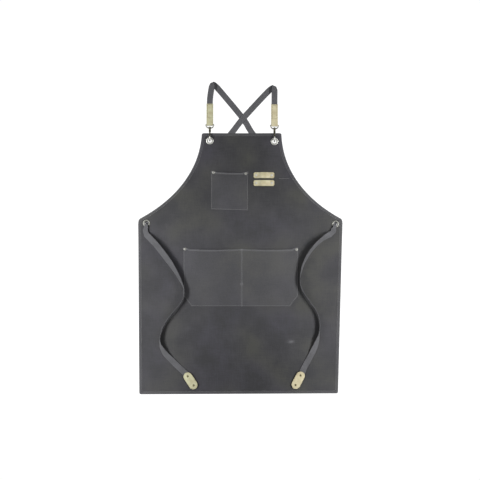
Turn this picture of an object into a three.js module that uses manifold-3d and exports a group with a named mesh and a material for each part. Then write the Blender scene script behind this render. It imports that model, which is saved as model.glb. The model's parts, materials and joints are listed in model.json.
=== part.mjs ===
import * as THREE from "three";
import { mergeVertices } from "three/addons/utils/BufferGeometryUtils.js";
import Module from "manifold-3d";

// A cross-back canvas work apron lying flat on its back, in millimetres.
// x runs to the right and y up the apron, both as seen from its front, and z up from the floor.
// Left and right are those of somebody looking at the front.

const wasm = await Module();
wasm.setup();

// Stock the apron is made from
const CANVAS = 1.2;
const LEATHER = 2.0;
const STRAP_WIDTH = 20;
const STRAP_THICK = 1.8;
const GAP = 0.3; // play between pieces that lie on one another

// Body of the apron: half widths at the hem, the waist and the bib, and where these lie
const HEM_HALF = 333.8;
const WAIST_HALF = 343;
const BIB_HALF = 133.6;
const HEM_Y = -523.4;
const WAIST_Y = 55;
const BIB_Y = 351.8;
const HEM_DEPTH = 11;
const SHEET_Z = 2 * CANVAS; // the hem is turned under twice, and holds the cloth this far off the floor
const CORNER = 7;
const ARMHOLE_END = new THREE.Vector2(336, 65.8); // where the armhole meets the rounded waist corner
const ARMHOLE_PULL = { top: 166, topLean: 3.75, end: 70.8, endLean: 61.5 }; // handles, mm and degrees
const LEAN = { bib: 0.0144, skirt: 0.0098 }; // sideways shift for each mm above and below the waist
const HEM_RISE = 1.6; // the hem lies this much lower at the left and higher at the right

// Grommets
const BORE = 6.5;
const FLANGE = 12.5;
const FLANGE_THICK = 1.0;
const BARREL = 0.7;
const LEVEL = 15; // the cloth is level this far round a grommet
const BIB_LIFT = 4.3; // how far the hooks under the cloth lift it
const WAIST_LIFT = 3.2; // how far the gathered straps lift it
const CROSS_LIFT = 2.3; // how far the straps lift the hem of the bib
const BIB_GROMMETS = { left: new THREE.Vector2(-102.3, 326.3), right: new THREE.Vector2(114.6, 323.9) };
const WAIST_GROMMETS = { left: new THREE.Vector2(-314.3, 49.4), right: new THREE.Vector2(318.8, 47) };

// Pockets: sides, mouth, bottom and how far the mouth gapes
const CHEST = { x0: -98.9, x1: 26.8, y0: 94, y1: 224.4, gape: 8, dip: 3.6, slope: -0.03 };
const LOWER = { x0: -191.3, x1: 194.1, y0: -229.5, y1: -31.6, gape: 9, dip: 5.2, slope: 0 };
const DIVIDER_X = 4.6;
const CLIP = { x: 27, y: 36 }; // what is cut off the bottom corners of the lower pocket
const MOUTH_HEM = 10;
const MOUTH_SAG = 0.25; // the cloth sinks this much for each mm that it gapes

// Tool loops
const LOOP = { x: 79.4, length: 70, width: 20.5, arch: 6.4, seat: 14, rivet: 26 };
const LOOP_Y = { upper: 210.7, lower: 184.5 };

// Snap hooks, in the upright plane through a bib grommet, measured up from its middle
const BAR = 3.6;
const HOOK_LOW = 0.4; // underside of the spine
const HOOK_HIGH = 19.4; // top of the nose
const BOW_Y = 7;
const BLOCK = { y0: 28.6, y1: 36.4, z1: 16.1, width: 7, slotZ: 10.5 };
const PIVOT = { y: 31.8, z: 14.1, radius: 1, bore: 1.3 };
const SWIVEL_Z = 8;
const EYE = { barY: 54.5, bar: 3, innerHalf: 12.2, depth: 8.6, bow: 4.8 };

// Folded leather ends of the straps
const TAB = { width: 22.4, length: 70, wrap: 2.6, fall: 3.36 };

// Where the straps fold over at the top, and the way they take from there
const FOLD_RADIUS = 5;
const GATHER = { share: 0.4, reach: 9.5 };
const ROUTES = {
  left: {
    side: "left",
    tie: "right",
    fold: new THREE.Vector2(-92.4, 517),
    over: 0,
    floor: [
      { x: -58, y: 482 },
      { x: 9, y: 401 },
      { x: 40, y: 352 },
      { x: 96, y: 280 },
      { x: 150, y: 200 },
      { x: 205, y: 125 },
    ],
    exit: new THREE.Vector2(-0.3, -0.954),
  },
  right: {
    side: "right",
    tie: "left",
    fold: new THREE.Vector2(111.6, 505.6),
    over: 2.2,
    floor: [
      { x: 74, y: 472 },
      { x: 9, y: 401 },
      { x: -30, y: 352 },
      { x: -90, y: 280 },
      { x: -145, y: 200 },
      { x: -202, y: 125 },
    ],
    exit: new THREE.Vector2(-0.14, -0.99),
  },
};
const CROSSING = new THREE.Vector2(9, 401);

// The ties on the front: roll is how far the strap leans, 0 flat, 90 on its edge and more leaning back
const TIES = {
  left: [
    { x: -314.5, y: 11.5, roll: 2 },
    { x: -301, y: -2, roll: 3 },
    { x: -281, y: -23, roll: 5 },
    { x: -249, y: -64, roll: 12 },
    { x: -223.5, y: -101, roll: 40 },
    { x: -200.5, y: -142, roll: 66 },
    { x: -188, y: -176, roll: 86 },
    { x: -192.5, y: -208, roll: 100 },
    { x: -220, y: -247.6, roll: 112 },
    { x: -249.5, y: -283.9, roll: 106 },
    { x: -267, y: -324.9, roll: 92 },
    { x: -268, y: -355.8, roll: 72 },
    { x: -252.5, y: -386.4, roll: 24 },
    { x: -228, y: -412.3, roll: 4 },
    { x: -203, y: -437, roll: 0 },
  ],
  right: [
    { x: 302, y: 13, roll: -14 },
    { x: 283, y: 2.5, roll: -40 },
    { x: 260, y: -15.5, roll: -56 },
    { x: 240, y: -37, roll: -60 },
    { x: 222, y: -65, roll: -64 },
    { x: 207.5, y: -98, roll: -74 },
    { x: 200, y: -139.8, roll: -90 },
    { x: 207, y: -175.7, roll: -100 },
    { x: 228.4, y: -211.7, roll: -112 },
    { x: 253.5, y: -248, roll: -106 },
    { x: 265, y: -283.9, roll: -96 },
    { x: 264, y: -319.9, roll: -80 },
    { x: 255, y: -354, roll: -36 },
    { x: 239.5, y: -388, roll: -8 },
    { x: 217, y: -430, roll: 0 },
  ],
};
// Stiff webbing springs clear of the cloth over the first share of a tie, already part way up at the bore
const TIE_SPRING = { left: 20, right: 14, share: 0.38, lead: 0.2 };
const END_TABS = {
  left: { x: -167, y: -479, heading: new THREE.Vector2(0.55, -0.835), length: 63, width: 32, rivet: 18.2 },
  right: { x: 194, y: -477, heading: new THREE.Vector2(-0.46, -0.888), length: 63, width: 32, rivet: 18.2 },
};

// Rivets
const POCKET_RIVET = { head: 4.8, dome: 1.6, shank: 1.8, back: 4 };
const SMALL_RIVET = { head: 3.6, dome: 1.3, shank: 1.5, back: 3.4 };
const RIVET_BACK = 0.8;
const POCKET_RIVETS = {
  rivet_chest_left: new THREE.Vector2(-90, 219.4),
  rivet_chest_right: new THREE.Vector2(18.6, 216.2),
  rivet_lower_left: new THREE.Vector2(-185.6, -37.4),
  rivet_lower_right: new THREE.Vector2(188.6, -38.8),
};

const materials = {
  canvas: new THREE.MeshStandardMaterial({ color: 0x4c4b50, roughness: 0.95, metalness: 0 }),
  webbing: new THREE.MeshStandardMaterial({ color: 0x5c5c60, roughness: 0.95, metalness: 0 }),
  leather: new THREE.MeshStandardMaterial({ color: 0xbcb89a, roughness: 0.6, metalness: 0 }),
  nickel: new THREE.MeshStandardMaterial({ color: 0xc9cacb, roughness: 0.28, metalness: 1 }),
  brass: new THREE.MeshStandardMaterial({ color: 0x6f6650, roughness: 0.45, metalness: 1 }),
};

const UP = new THREE.Vector3(0, 0, 1);
const flat = (p, z = 0) => new THREE.Vector3(p.x, p.y, z);
const degrees = THREE.MathUtils.degToRad;
const sideName = (name, side) => `${name}_${side}`;

// Solids are cut and joined as closed triangle meshes.
function toSolid(geometry) {
  const bare = new THREE.BufferGeometry();
  bare.setAttribute("position", geometry.getAttribute("position"));
  bare.setIndex(geometry.getIndex());
  const welded = mergeVertices(bare, 1e-4);
  const mesh = new wasm.Mesh({
    numProp: 3,
    vertProperties: Float32Array.from(welded.getAttribute("position").array),
    triVerts: Uint32Array.from(welded.getIndex().array),
  });
  mesh.merge();
  return wasm.Manifold.ofMesh(mesh);
}

function toGeometry(solid) {
  const mesh = solid.getMesh();
  const geometry = new THREE.BufferGeometry();
  geometry.setAttribute("position", new THREE.BufferAttribute(Float32Array.from(mesh.vertProperties), 3));
  geometry.setIndex(new THREE.BufferAttribute(Uint32Array.from(mesh.triVerts), 1));
  return geometry;
}

function meshOf(points, triangles) {
  const geometry = new THREE.BufferGeometry();
  const coordinates = points.flatMap((p) => p.toArray());
  geometry.setAttribute("position", new THREE.Float32BufferAttribute(coordinates, 3));
  geometry.setIndex(triangles);
  return geometry;
}

// A closed sheet over a grid; at(i, j) gives the lower and upper points of one grid corner.
function sheet(columns, rows, at) {
  const points = [];
  for (let i = 0; i <= columns; i += 1) {
    for (let j = 0; j <= rows; j += 1) {
      const { low, high } = at(i, j);
      points.push(low, high);
    }
  }
  const low = (i, j) => 2 * (i * (rows + 1) + j);
  const high = (i, j) => low(i, j) + 1;
  const triangles = [];
  const quad = (a, b, c, d) => triangles.push(a, b, c, a, c, d);
  for (let i = 0; i < columns; i += 1) {
    for (let j = 0; j < rows; j += 1) {
      quad(high(i, j), high(i + 1, j), high(i + 1, j + 1), high(i, j + 1));
      quad(low(i, j), low(i, j + 1), low(i + 1, j + 1), low(i + 1, j));
    }
    quad(low(i, 0), low(i + 1, 0), high(i + 1, 0), high(i, 0));
    quad(low(i + 1, rows), low(i, rows), high(i, rows), high(i + 1, rows));
  }
  for (let j = 0; j < rows; j += 1) {
    quad(low(0, j + 1), low(0, j), high(0, j), high(0, j + 1));
    quad(low(columns, j), low(columns, j + 1), high(columns, j + 1), high(columns, j));
  }
  return meshOf(points, triangles);
}

// A closed band through a run of four-cornered sections.
function band(sections) {
  const triangles = [0, 2, 1, 0, 3, 2];
  const last = 4 * (sections.length - 1);
  for (let i = 0; i < sections.length - 1; i += 1) {
    for (let k = 0; k < 4; k += 1) {
      const a = 4 * i + k;
      const b = 4 * i + ((k + 1) % 4);
      triangles.push(a, b, b + 4, a, b + 4, a + 4);
    }
  }
  triangles.push(last, last + 1, last + 2, last, last + 2, last + 3);
  return meshOf(sections.flat(), triangles);
}

function turned(profile, segments) {
  const points = profile.map(([r, z]) => new THREE.Vector2(r, z));
  return new THREE.LatheGeometry(points, segments).rotateX(Math.PI / 2);
}

function rod(radius, length, segments) {
  return new THREE.CylinderGeometry(radius, radius, length, segments);
}

function holeAt(p, radius, segments) {
  return toSolid(rod(radius, 60, segments).rotateX(Math.PI / 2).translate(p.x, p.y, 10));
}

function block(x0, x1, y0, y1, z0, z1) {
  const box = new THREE.BoxGeometry(x1 - x0, y1 - y0, z1 - z0);
  return toSolid(box.translate((x0 + x1) / 2, (y0 + y1) / 2, (z0 + z1) / 2));
}

function prism(points, depth, z0) {
  const shape = new THREE.Shape(points);
  return toSolid(new THREE.ExtrudeGeometry(shape, { depth, bevelEnabled: false }).translate(0, 0, z0));
}

// A shape drawn in the upright plane, with y across and z up, made width thick about x = 0.
function uprightPlate(shape, width, bevel) {
  const options = {
    depth: width - 2 * bevel,
    bevelEnabled: bevel > 0,
    bevelThickness: bevel,
    bevelSize: bevel,
    bevelOffset: -bevel,
    bevelSegments: 1,
    curveSegments: 6,
  };
  const geometry = new THREE.ExtrudeGeometry(shape, options).translate(0, 0, bevel - width / 2);
  const axes = new THREE.Matrix4().makeBasis(
    new THREE.Vector3(0, 1, 0),
    new THREE.Vector3(0, 0, 1),
    new THREE.Vector3(1, 0, 0),
  );
  return geometry.applyMatrix4(axes);
}

const fade = (distance, core, reach) => 1 - THREE.MathUtils.smoothstep(distance, core, core + reach);

function segmentDistance(x, y, a, b) {
  const dx = b.x - a.x;
  const dy = b.y - a.y;
  const along = THREE.MathUtils.clamp(((x - a.x) * dx + (y - a.y) * dy) / (dx * dx + dy * dy), 0, 1);
  return Math.hypot(x - a.x - along * dx, y - a.y - along * dy);
}

// How far the cloth is lifted by the hooks, the grommets and the straps under it.
function lift(x, y) {
  let height = 0;
  for (const side of ["left", "right"]) {
    const bib = BIB_GROMMETS[side];
    const edge = new THREE.Vector2(bib.x, BIB_Y);
    const waist = WAIST_GROMMETS[side];
    const under = ROUTES[side].floor[2];
    height = Math.max(height, BIB_LIFT * fade(segmentDistance(x, y, bib, edge), 24, 56));
    height = Math.max(height, WAIST_LIFT * fade(Math.hypot(x - waist.x, y - waist.y), 25, 56));
    height = Math.max(height, CROSS_LIFT * fade(Math.hypot(x - under.x, y - under.y), 40, 40));
  }
  return height;
}

const clothUnder = (x, y) => SHEET_Z + lift(x, y);
const clothTop = (x, y) => clothUnder(x, y) + CANVAS;

// Outline of the body, drawn in by inset: one half from the hem to the bib, then its mirror image.
function bodyOutline(inset) {
  const endLean = degrees(ARMHOLE_PULL.endLean);
  const topLean = degrees(ARMHOLE_PULL.topLean);
  const inEnd = new THREE.Vector2(-Math.cos(endLean), -Math.sin(endLean)).multiplyScalar(inset);
  const inTop = new THREE.Vector2(-inset, 0);
  const end = ARMHOLE_END.clone().add(inEnd);
  const pull = new THREE.Vector2(-Math.sin(endLean), Math.cos(endLean)).multiplyScalar(ARMHOLE_PULL.end);
  const endHandle = end.clone().add(pull);
  const top = new THREE.Vector2(BIB_HALF + 0.3, BIB_Y - CORNER).add(inTop);
  const hang = new THREE.Vector2(Math.sin(topLean), -Math.cos(topLean));
  const topHandle = top.clone().addScaledVector(hang, ARMHOLE_PULL.top - CORNER);
  const hem = HEM_HALF - inset;
  const waist = WAIST_HALF - inset;
  const low = HEM_Y + inset;
  const high = BIB_Y - inset;
  const path = new THREE.Path();
  path.moveTo(0, low);
  path.lineTo(hem - CORNER, low);
  path.quadraticCurveTo(hem, low, hem, low + CORNER);
  path.lineTo(waist, WAIST_Y - CORNER - inset);
  path.quadraticCurveTo(waist, WAIST_Y + CORNER - inset, end.x, end.y);
  path.bezierCurveTo(endHandle.x, endHandle.y, topHandle.x, topHandle.y, top.x, high - CORNER);
  path.quadraticCurveTo(BIB_HALF - inset, high, BIB_HALF - inset - CORNER, high);
  path.lineTo(0, high);
  const right = path.getPoints(9);
  const left = right.slice(1, -1).reverse().map((p) => new THREE.Vector2(-p.x, p.y));
  return [...right, ...left].map((p) => {
    const below = THREE.MathUtils.clamp((WAIST_Y - p.y) / (WAIST_Y - HEM_Y), 0, 1);
    const rise = p.y - WAIST_Y + CORNER;
    const lean = rise * (rise > 0 ? LEAN.bib : LEAN.skirt);
    return new THREE.Vector2(p.x + lean, p.y + (HEM_RISE * below * p.x) / HEM_HALF);
  });
}

// Grid lines from first to last, through each pin and at most step apart.
function gridLines(first, last, pins, step) {
  const stops = [first, ...pins, last];
  const lines = [first];
  for (let k = 1; k < stops.length; k += 1) {
    const parts = Math.ceil((stops[k] - stops[k - 1]) / step);
    for (let i = 1; i <= parts; i += 1) {
      lines.push(THREE.MathUtils.lerp(stops[k - 1], stops[k], i / parts));
    }
  }
  return lines;
}

// A layer of cloth over the whole field, cut to the outline afterwards; it is level round each grommet.
function clothField(under, thickness) {
  const holes = [WAIST_GROMMETS.left, BIB_GROMMETS.left, BIB_GROMMETS.right, WAIST_GROMMETS.right];
  const xs = gridLines(-352, 352, holes.flatMap((p) => [p.x - LEVEL, p.x + LEVEL]), 36);
  const waist = WAIST_GROMMETS.left.y;
  const bib = BIB_GROMMETS.left.y;
  const ys = gridLines(-40, 362, [waist - LEVEL - 3, waist + LEVEL, bib - LEVEL - 3, bib + LEVEL], 36);
  ys.unshift(-540);
  return toSolid(
    sheet(xs.length - 1, ys.length - 1, (i, j) => {
      const z = under(xs[i], ys[j]);
      const low = new THREE.Vector3(xs[i], ys[j], z);
      return { low, high: low.clone().setZ(z + thickness) };
    }),
  );
}

function bodySolid(rivetPlaces) {
  const whole = prism(bodyOutline(0), 60, -20);
  const middle = prism(bodyOutline(HEM_DEPTH), 60, -20);
  const cloth = clothField(clothUnder, CANVAS).intersect(whole);
  const turnedUnder = clothField((x, y) => lift(x, y), SHEET_Z + 0.4);
  let body = cloth.add(turnedUnder.intersect(whole.subtract(middle)));
  for (const p of [...Object.values(BIB_GROMMETS), ...Object.values(WAIST_GROMMETS)]) {
    body = body.subtract(holeAt(p, BORE + BARREL + GAP, 16));
  }
  for (const { p, rivet } of rivetPlaces) {
    body = body.subtract(holeAt(p, rivet.shank + GAP, 8));
  }
  return body;
}

// Height of a pocket over the body: sewn down at the sides and the bottom, gaping at the mouth.
function pouch(across, up, gape) {
  const side = Math.max(0, 1 - across * across);
  return gape * side * Math.sqrt(side) * THREE.MathUtils.smoothstep(up, 0.02, 1);
}

function chestHeight(x, y) {
  const across = (2 * x - CHEST.x0 - CHEST.x1) / (CHEST.x1 - CHEST.x0);
  return pouch(across, (y - CHEST.y0) / (CHEST.y1 - CHEST.y0), CHEST.gape);
}

function lowerHeight(x, y) {
  const x0 = x < DIVIDER_X ? LOWER.x0 : DIVIDER_X;
  const x1 = x < DIVIDER_X ? DIVIDER_X : LOWER.x1;
  const across = (2 * x - x0 - x1) / (x1 - x0);
  return pouch(across, (y - LOWER.y0) / (LOWER.y1 - LOWER.y0), LOWER.gape);
}

// How far a clipped bottom corner of the lower pocket cuts in at height y.
function clipAt(y) {
  return CLIP.x * THREE.MathUtils.clamp(1 - (y - LOWER.y0) / CLIP.y, 0, 1);
}

const POCKET_SEAT = SHEET_Z + CANVAS + GAP; // sewn edges lie here, on flat cloth

// How far the cloth of a pocket lies from its place in a plain rectangle: the pocket is sewn on with
// a slope, and its mouth dips between the corners and sinks where it gapes.
function pocketShift(pocket, x, y, rise) {
  const slope = pocket.slope * (x - (pocket.x0 + pocket.x1) / 2);
  const fromSide = Math.min(x - pocket.x0, pocket.x1 - x);
  const up = (y - pocket.y0) / (pocket.y1 - pocket.y0);
  return slope - MOUTH_SAG * rise - pocket.dip * up * up * THREE.MathUtils.smoothstep(fromSide, 4, 24);
}

function pocketSheet(pocket, columns, rows, place, height, turnedIn = 0) {
  return toSolid(
    sheet(columns, rows.length - 1, (i, j) => {
      const x = place(i, rows[j]);
      const rise = height(x, rows[j]);
      const y = rows[j] + pocketShift(pocket, x, rows[j], rise);
      const high = new THREE.Vector3(x, y, POCKET_SEAT + rise + CANVAS);
      return { low: high.clone().setZ(high.z - CANVAS - Math.min(turnedIn, rise / 2)), high };
    }),
  );
}

function rowsBetween(y0, y1, count) {
  return Array.from({ length: count + 1 }, (_, j) => THREE.MathUtils.lerp(y0, y1, j / count));
}

// The mouth is turned over inward, so a second layer lies under the first one there.
function withMouthHem(pocket, columns, rows, place, height) {
  const mouth = [pocket.y1 - MOUTH_HEM, pocket.y1];
  const hem = pocketSheet(pocket, columns, mouth, place, height, CANVAS);
  return pocketSheet(pocket, columns, rows, place, height).add(hem);
}

function chestSolid() {
  const columns = 10;
  const place = (i) => THREE.MathUtils.lerp(CHEST.x0, CHEST.x1, i / columns);
  const rows = [...rowsBetween(CHEST.y0, CHEST.y1 - MOUTH_HEM, 6), CHEST.y1];
  return withMouthHem(CHEST, columns, rows, place, chestHeight);
}

function lowerSolid() {
  const columns = 20;
  const place = (i, y) => {
    const clip = clipAt(y);
    if (i <= columns / 2) {
      return THREE.MathUtils.lerp(LOWER.x0 + clip, DIVIDER_X, (2 * i) / columns);
    }
    return THREE.MathUtils.lerp(DIVIDER_X, LOWER.x1 - clip, (2 * i) / columns - 1);
  };
  const middle = rowsBetween(LOWER.y0 + CLIP.y, LOWER.y1 - MOUTH_HEM, 4);
  const rows = [LOWER.y0, LOWER.y0 + CLIP.y / 2, ...middle, LOWER.y1];
  return withMouthHem(LOWER, columns, rows, place, lowerHeight);
}

// Top of the cloth under a tie, with the lower pocket where it lies.
function surfaceTop(x, y) {
  const clip = clipAt(y);
  const across = x > LOWER.x0 + clip - 1 && x < LOWER.x1 - clip + 1;
  const up = y > LOWER.y0 - 1 && y < LOWER.y1 + 1;
  if (across && up) {
    return POCKET_SEAT + lowerHeight(x, y) + CANVAS;
  }
  return clothTop(x, y);
}

function grommetSolid(p, rise) {
  const low = SHEET_Z + rise - GAP - FLANGE_THICK;
  const high = low + 2 * FLANGE_THICK + 2 * GAP + CANVAS;
  const outer = BORE + BARREL;
  const profile = [
    [BORE, low],
    [FLANGE, low],
    [FLANGE, low + FLANGE_THICK],
    [outer, low + FLANGE_THICK],
    [outer, high - FLANGE_THICK],
    [FLANGE, high - FLANGE_THICK],
    [FLANGE - 0.6, high - 0.3],
    [FLANGE - 2.4, high + 0.2],
    [BORE + 1.4, high + 0.2],
    [BORE, high - 0.7],
    [BORE, low],
  ];
  return toSolid(turned(profile, 14).translate(p.x, p.y, 0));
}

// A domed head, a shank and a flat back, standing between two heights.
function rivetSolid(p, rivet, back, seat) {
  const profile = [
    [0, back],
    [rivet.back, back],
    [rivet.back, back + RIVET_BACK],
    [rivet.shank, back + RIVET_BACK],
    [rivet.shank, seat],
    [rivet.head, seat],
    [rivet.head, seat + 0.4 * rivet.dome],
    [0.6 * rivet.head, seat + 0.9 * rivet.dome],
    [0, seat + rivet.dome],
  ];
  return toSolid(turned(profile, 8).translate(p.x, p.y, 0));
}

// A leather strip with rounded ends, seated at both ends and arched between them.
function loopSolid(y) {
  const columns = 16;
  const half = LOOP.length / 2;
  const strip = sheet(columns, 2, (i, j) => {
    const s = -half * Math.cos((Math.PI * i) / columns);
    const round = THREE.MathUtils.clamp((Math.abs(s) - (half - 5)) / 5, 0, 1);
    const width = (LOOP.width / 2) * (1 - 0.45 * round * round);
    const span = half - LOOP.seat;
    const rise = LOOP.arch * (1 - THREE.MathUtils.smoothstep(Math.abs(s), span * 0.35, span));
    const low = POCKET_SEAT + rise;
    const place = new THREE.Vector3(LOOP.x + s, y + (j - 1) * width, low);
    return { low: place, high: place.clone().setZ(low + LEATHER) };
  });
  let solid = toSolid(strip);
  for (const side of [-1, 1]) {
    solid = solid.subtract(holeAt({ x: LOOP.x + side * LOOP.rivet, y }, SMALL_RIVET.shank + GAP, 8));
  }
  return solid;
}

// The hook stands upright in the grommet: spine under the cloth, bow up through the bore, nose above.
function hookSolid() {
  const outer = (HOOK_HIGH - HOOK_LOW) / 2;
  const inner = outer - BAR;
  const middle = HOOK_LOW + outer;
  const noseTip = 15;
  const shape = new THREE.Shape();
  shape.moveTo(BLOCK.y0 + 2, HOOK_LOW);
  shape.lineTo(BLOCK.y0 + 2, HOOK_LOW + BAR);
  shape.lineTo(BOW_Y, HOOK_LOW + BAR);
  shape.absarc(BOW_Y, middle, inner, -Math.PI / 2, Math.PI / 2, true);
  shape.lineTo(noseTip, HOOK_HIGH - BAR);
  shape.lineTo(noseTip, HOOK_HIGH - 1);
  shape.lineTo(noseTip - 2, HOOK_HIGH);
  shape.lineTo(BOW_Y, HOOK_HIGH);
  shape.absarc(BOW_Y, middle, outer, Math.PI / 2, (3 * Math.PI) / 2, false);
  const half = BLOCK.width / 2;
  const slotHalf = PIVOT.radius + 1.3;
  const body = block(-half, half, BLOCK.y0, BLOCK.y1, HOOK_LOW, BLOCK.z1);
  const slot = block(-slotHalf, slotHalf, BLOCK.y0 - 1, BLOCK.y1 + 1, BLOCK.slotZ, BLOCK.z1 + 1);
  const pinRod = rod(PIVOT.radius, BLOCK.width - 0.4, 12).rotateZ(Math.PI / 2);
  const pin = toSolid(pinRod.translate(0, PIVOT.y, PIVOT.z));
  const stem = [
    [0, BLOCK.y1 - 1],
    [3.5, BLOCK.y1 - 1],
    [3.5, EYE_COLLAR.y0 - GAP],
    [2, EYE_COLLAR.y0 - GAP],
    [2, EYE_COLLAR.y1 + GAP],
    [3.1, EYE_COLLAR.y1 + GAP],
    [3.1, EYE_COLLAR.y1 + GAP + 1.2],
    [0, EYE_COLLAR.y1 + GAP + 1.8],
  ];
  const points = stem.map(([r, y]) => new THREE.Vector2(r, y));
  const neck = toSolid(new THREE.LatheGeometry(points, 12).translate(0, 0, SWIVEL_Z));
  return toSolid(uprightPlate(shape, 4.6, 0.7)).add(body.subtract(slot)).add(pin).add(neck);
}

const EYE_COLLAR = { y0: BLOCK.y1 + 2.2, y1: EYE.barY - EYE.bar / 2 - EYE.depth + 0.8, radius: 3.6 };

// A flat D for the leather, with a collar that turns on the neck of the hook.
function eyeSolid() {
  const half = EYE.innerHalf;
  const top = EYE.barY + EYE.bar / 2;
  const inside = EYE.barY - EYE.bar / 2;
  const shape = new THREE.Shape();
  shape.moveTo(half + EYE.bar, inside);
  shape.lineTo(half + EYE.bar, top);
  shape.lineTo(-half - EYE.bar, top);
  shape.lineTo(-half - EYE.bar, inside);
  shape.absellipse(0, inside, half + EYE.bar, EYE.depth + EYE.bow, Math.PI, 2 * Math.PI, false);
  const hole = new THREE.Path();
  hole.moveTo(half, inside);
  hole.lineTo(-half, inside);
  hole.absellipse(0, inside, half, EYE.depth, Math.PI, 2 * Math.PI, false);
  shape.holes.push(hole);
  const options = {
    depth: EYE.bar - 1.2,
    bevelEnabled: true,
    bevelThickness: 0.6,
    bevelSize: 0.6,
    bevelOffset: -0.6,
    bevelSegments: 1,
    curveSegments: 8,
  };
  const ring = new THREE.ExtrudeGeometry(shape, options).translate(0, 0, SWIVEL_Z - EYE.bar / 2 + 0.6);
  const length = EYE_COLLAR.y1 - EYE_COLLAR.y0;
  const middle = (EYE_COLLAR.y0 + EYE_COLLAR.y1) / 2;
  const collar = toSolid(rod(EYE_COLLAR.radius, length, 12).translate(0, middle, SWIVEL_Z));
  const bore = toSolid(rod(2 + GAP, length + 2, 12).translate(0, middle, SWIVEL_Z));
  return toSolid(ring).add(collar).subtract(bore);
}

// A lever on the pin between the ears of the hook; its tip closes against the inside of the nose.
function gateSolid() {
  const tip = 12.9;
  const top = HOOK_HIGH - BAR - GAP;
  const shape = new THREE.Shape();
  shape.moveTo(tip, top - 2.2);
  shape.lineTo(PIVOT.y - 1.5, PIVOT.z - 2.1);
  shape.absarc(PIVOT.y, PIVOT.z, 2.2, -2.1, 1.7, false);
  shape.lineTo(PIVOT.y - 4, top + 0.6);
  shape.lineTo(PIVOT.y - 6, top + 2.2);
  shape.lineTo(PIVOT.y - 9, top + 1.6);
  shape.lineTo(PIVOT.y - 12, top);
  shape.lineTo(tip, top);
  const bore = toSolid(rod(PIVOT.bore, 10, 12).rotateZ(Math.PI / 2).translate(0, PIVOT.y, PIVOT.z));
  return toSolid(uprightPlate(shape, 4, 0.4)).subtract(bore);
}

// Leather folded round the bar of the eye, closed on the end of the strap.
function tabGeometry() {
  const slot = STRAP_THICK / 2 + GAP;
  const outside = slot + LEATHER;
  const shape = new THREE.Shape();
  shape.moveTo(TAB.length, -slot);
  shape.lineTo(7, -slot);
  shape.lineTo(0, -TAB.wrap);
  shape.absarc(0, 0, TAB.wrap, -Math.PI / 2, Math.PI / 2, true);
  shape.lineTo(7, slot);
  shape.lineTo(TAB.length, slot);
  shape.lineTo(TAB.length, outside);
  shape.lineTo(8, outside);
  shape.lineTo(0, TAB.wrap + LEATHER);
  shape.absarc(0, 0, TAB.wrap + LEATHER, Math.PI / 2, (3 * Math.PI) / 2, false);
  shape.lineTo(8, -outside);
  shape.lineTo(TAB.length, -outside);
  return uprightPlate(shape, TAB.width, 0);
}

// One cross-section of a strap: w points to its left edge and n out of its upper face.
function section(centre, w, n, width, thick) {
  const left = centre.clone().addScaledVector(w, width / 2);
  const right = centre.clone().addScaledVector(w, -width / 2);
  return edgeSection(left, right, n, thick);
}

function edgeSection(left, right, n, thick) {
  const back = n.clone().multiplyScalar(-thick / 2);
  const front = n.clone().multiplyScalar(thick / 2);
  return [right.clone().add(back), left.clone().add(back), left.clone().add(front), right.clone().add(front)];
}

// Width of a strap at a distance along it from the crown of its fold, where it draws together.
function gathered(distance) {
  return STRAP_WIDTH * (1 - GATHER.share * Math.exp(-((distance / GATHER.reach) ** 2)));
}

// Directions at a fold: along the strap before and after it, along its crease and out of it. By half way
// round the soft bend has carried the strap along the crease by lead.
function foldFrame(route) {
  const heading = new THREE.Vector3(0, 1, 0);
  const away = flat(route.floor[0]).sub(flat(route.fold)).normalize();
  const axis = heading.clone().add(away).normalize();
  const out = heading.clone().sub(away).normalize();
  const slide = ((Math.PI / 2) * FOLD_RADIUS * heading.dot(axis)) / heading.dot(out);
  return { heading, axis, out, lead: axis.clone().multiplyScalar(slide) };
}

// From inside the leather up to the fold.
function frontRun(route, tabAt) {
  const fall = degrees(TAB.fall);
  const along = new THREE.Vector3(0, Math.cos(fall), -Math.sin(fall));
  const n = new THREE.Vector3(0, Math.sin(fall), Math.cos(fall));
  const w = new THREE.Vector3(-1, 0, 0);
  const sections = [10, TAB.length - 1].map((v) => {
    return section(tabAt.clone().addScaledVector(along, v), w, n, STRAP_WIDTH, STRAP_THICK);
  });
  const start = tabAt.clone().addScaledVector(along, TAB.length - 1);
  const level = STRAP_THICK / 2 + 2 * FOLD_RADIUS;
  const end = flat(route.fold, level).sub(foldFrame(route).lead);
  const handle = (x, share) => new THREE.Vector3(x, THREE.MathUtils.lerp(start.y, end.y, share), level);
  const curve = new THREE.CubicBezierCurve3(start, handle(start.x, 0.5), handle(end.x, 0.75), end);
  for (const t of [0.25, 0.45, 0.62, 0.78, 0.9]) {
    const centre = curve.getPoint(t);
    const heading = curve.getTangent(t).setZ(0).normalize();
    const width = gathered(centre.distanceTo(end) + (Math.PI / 2) * FOLD_RADIUS);
    sections.push(section(centre, UP.clone().cross(heading), UP, width, STRAP_THICK));
  }
  return sections;
}

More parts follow.
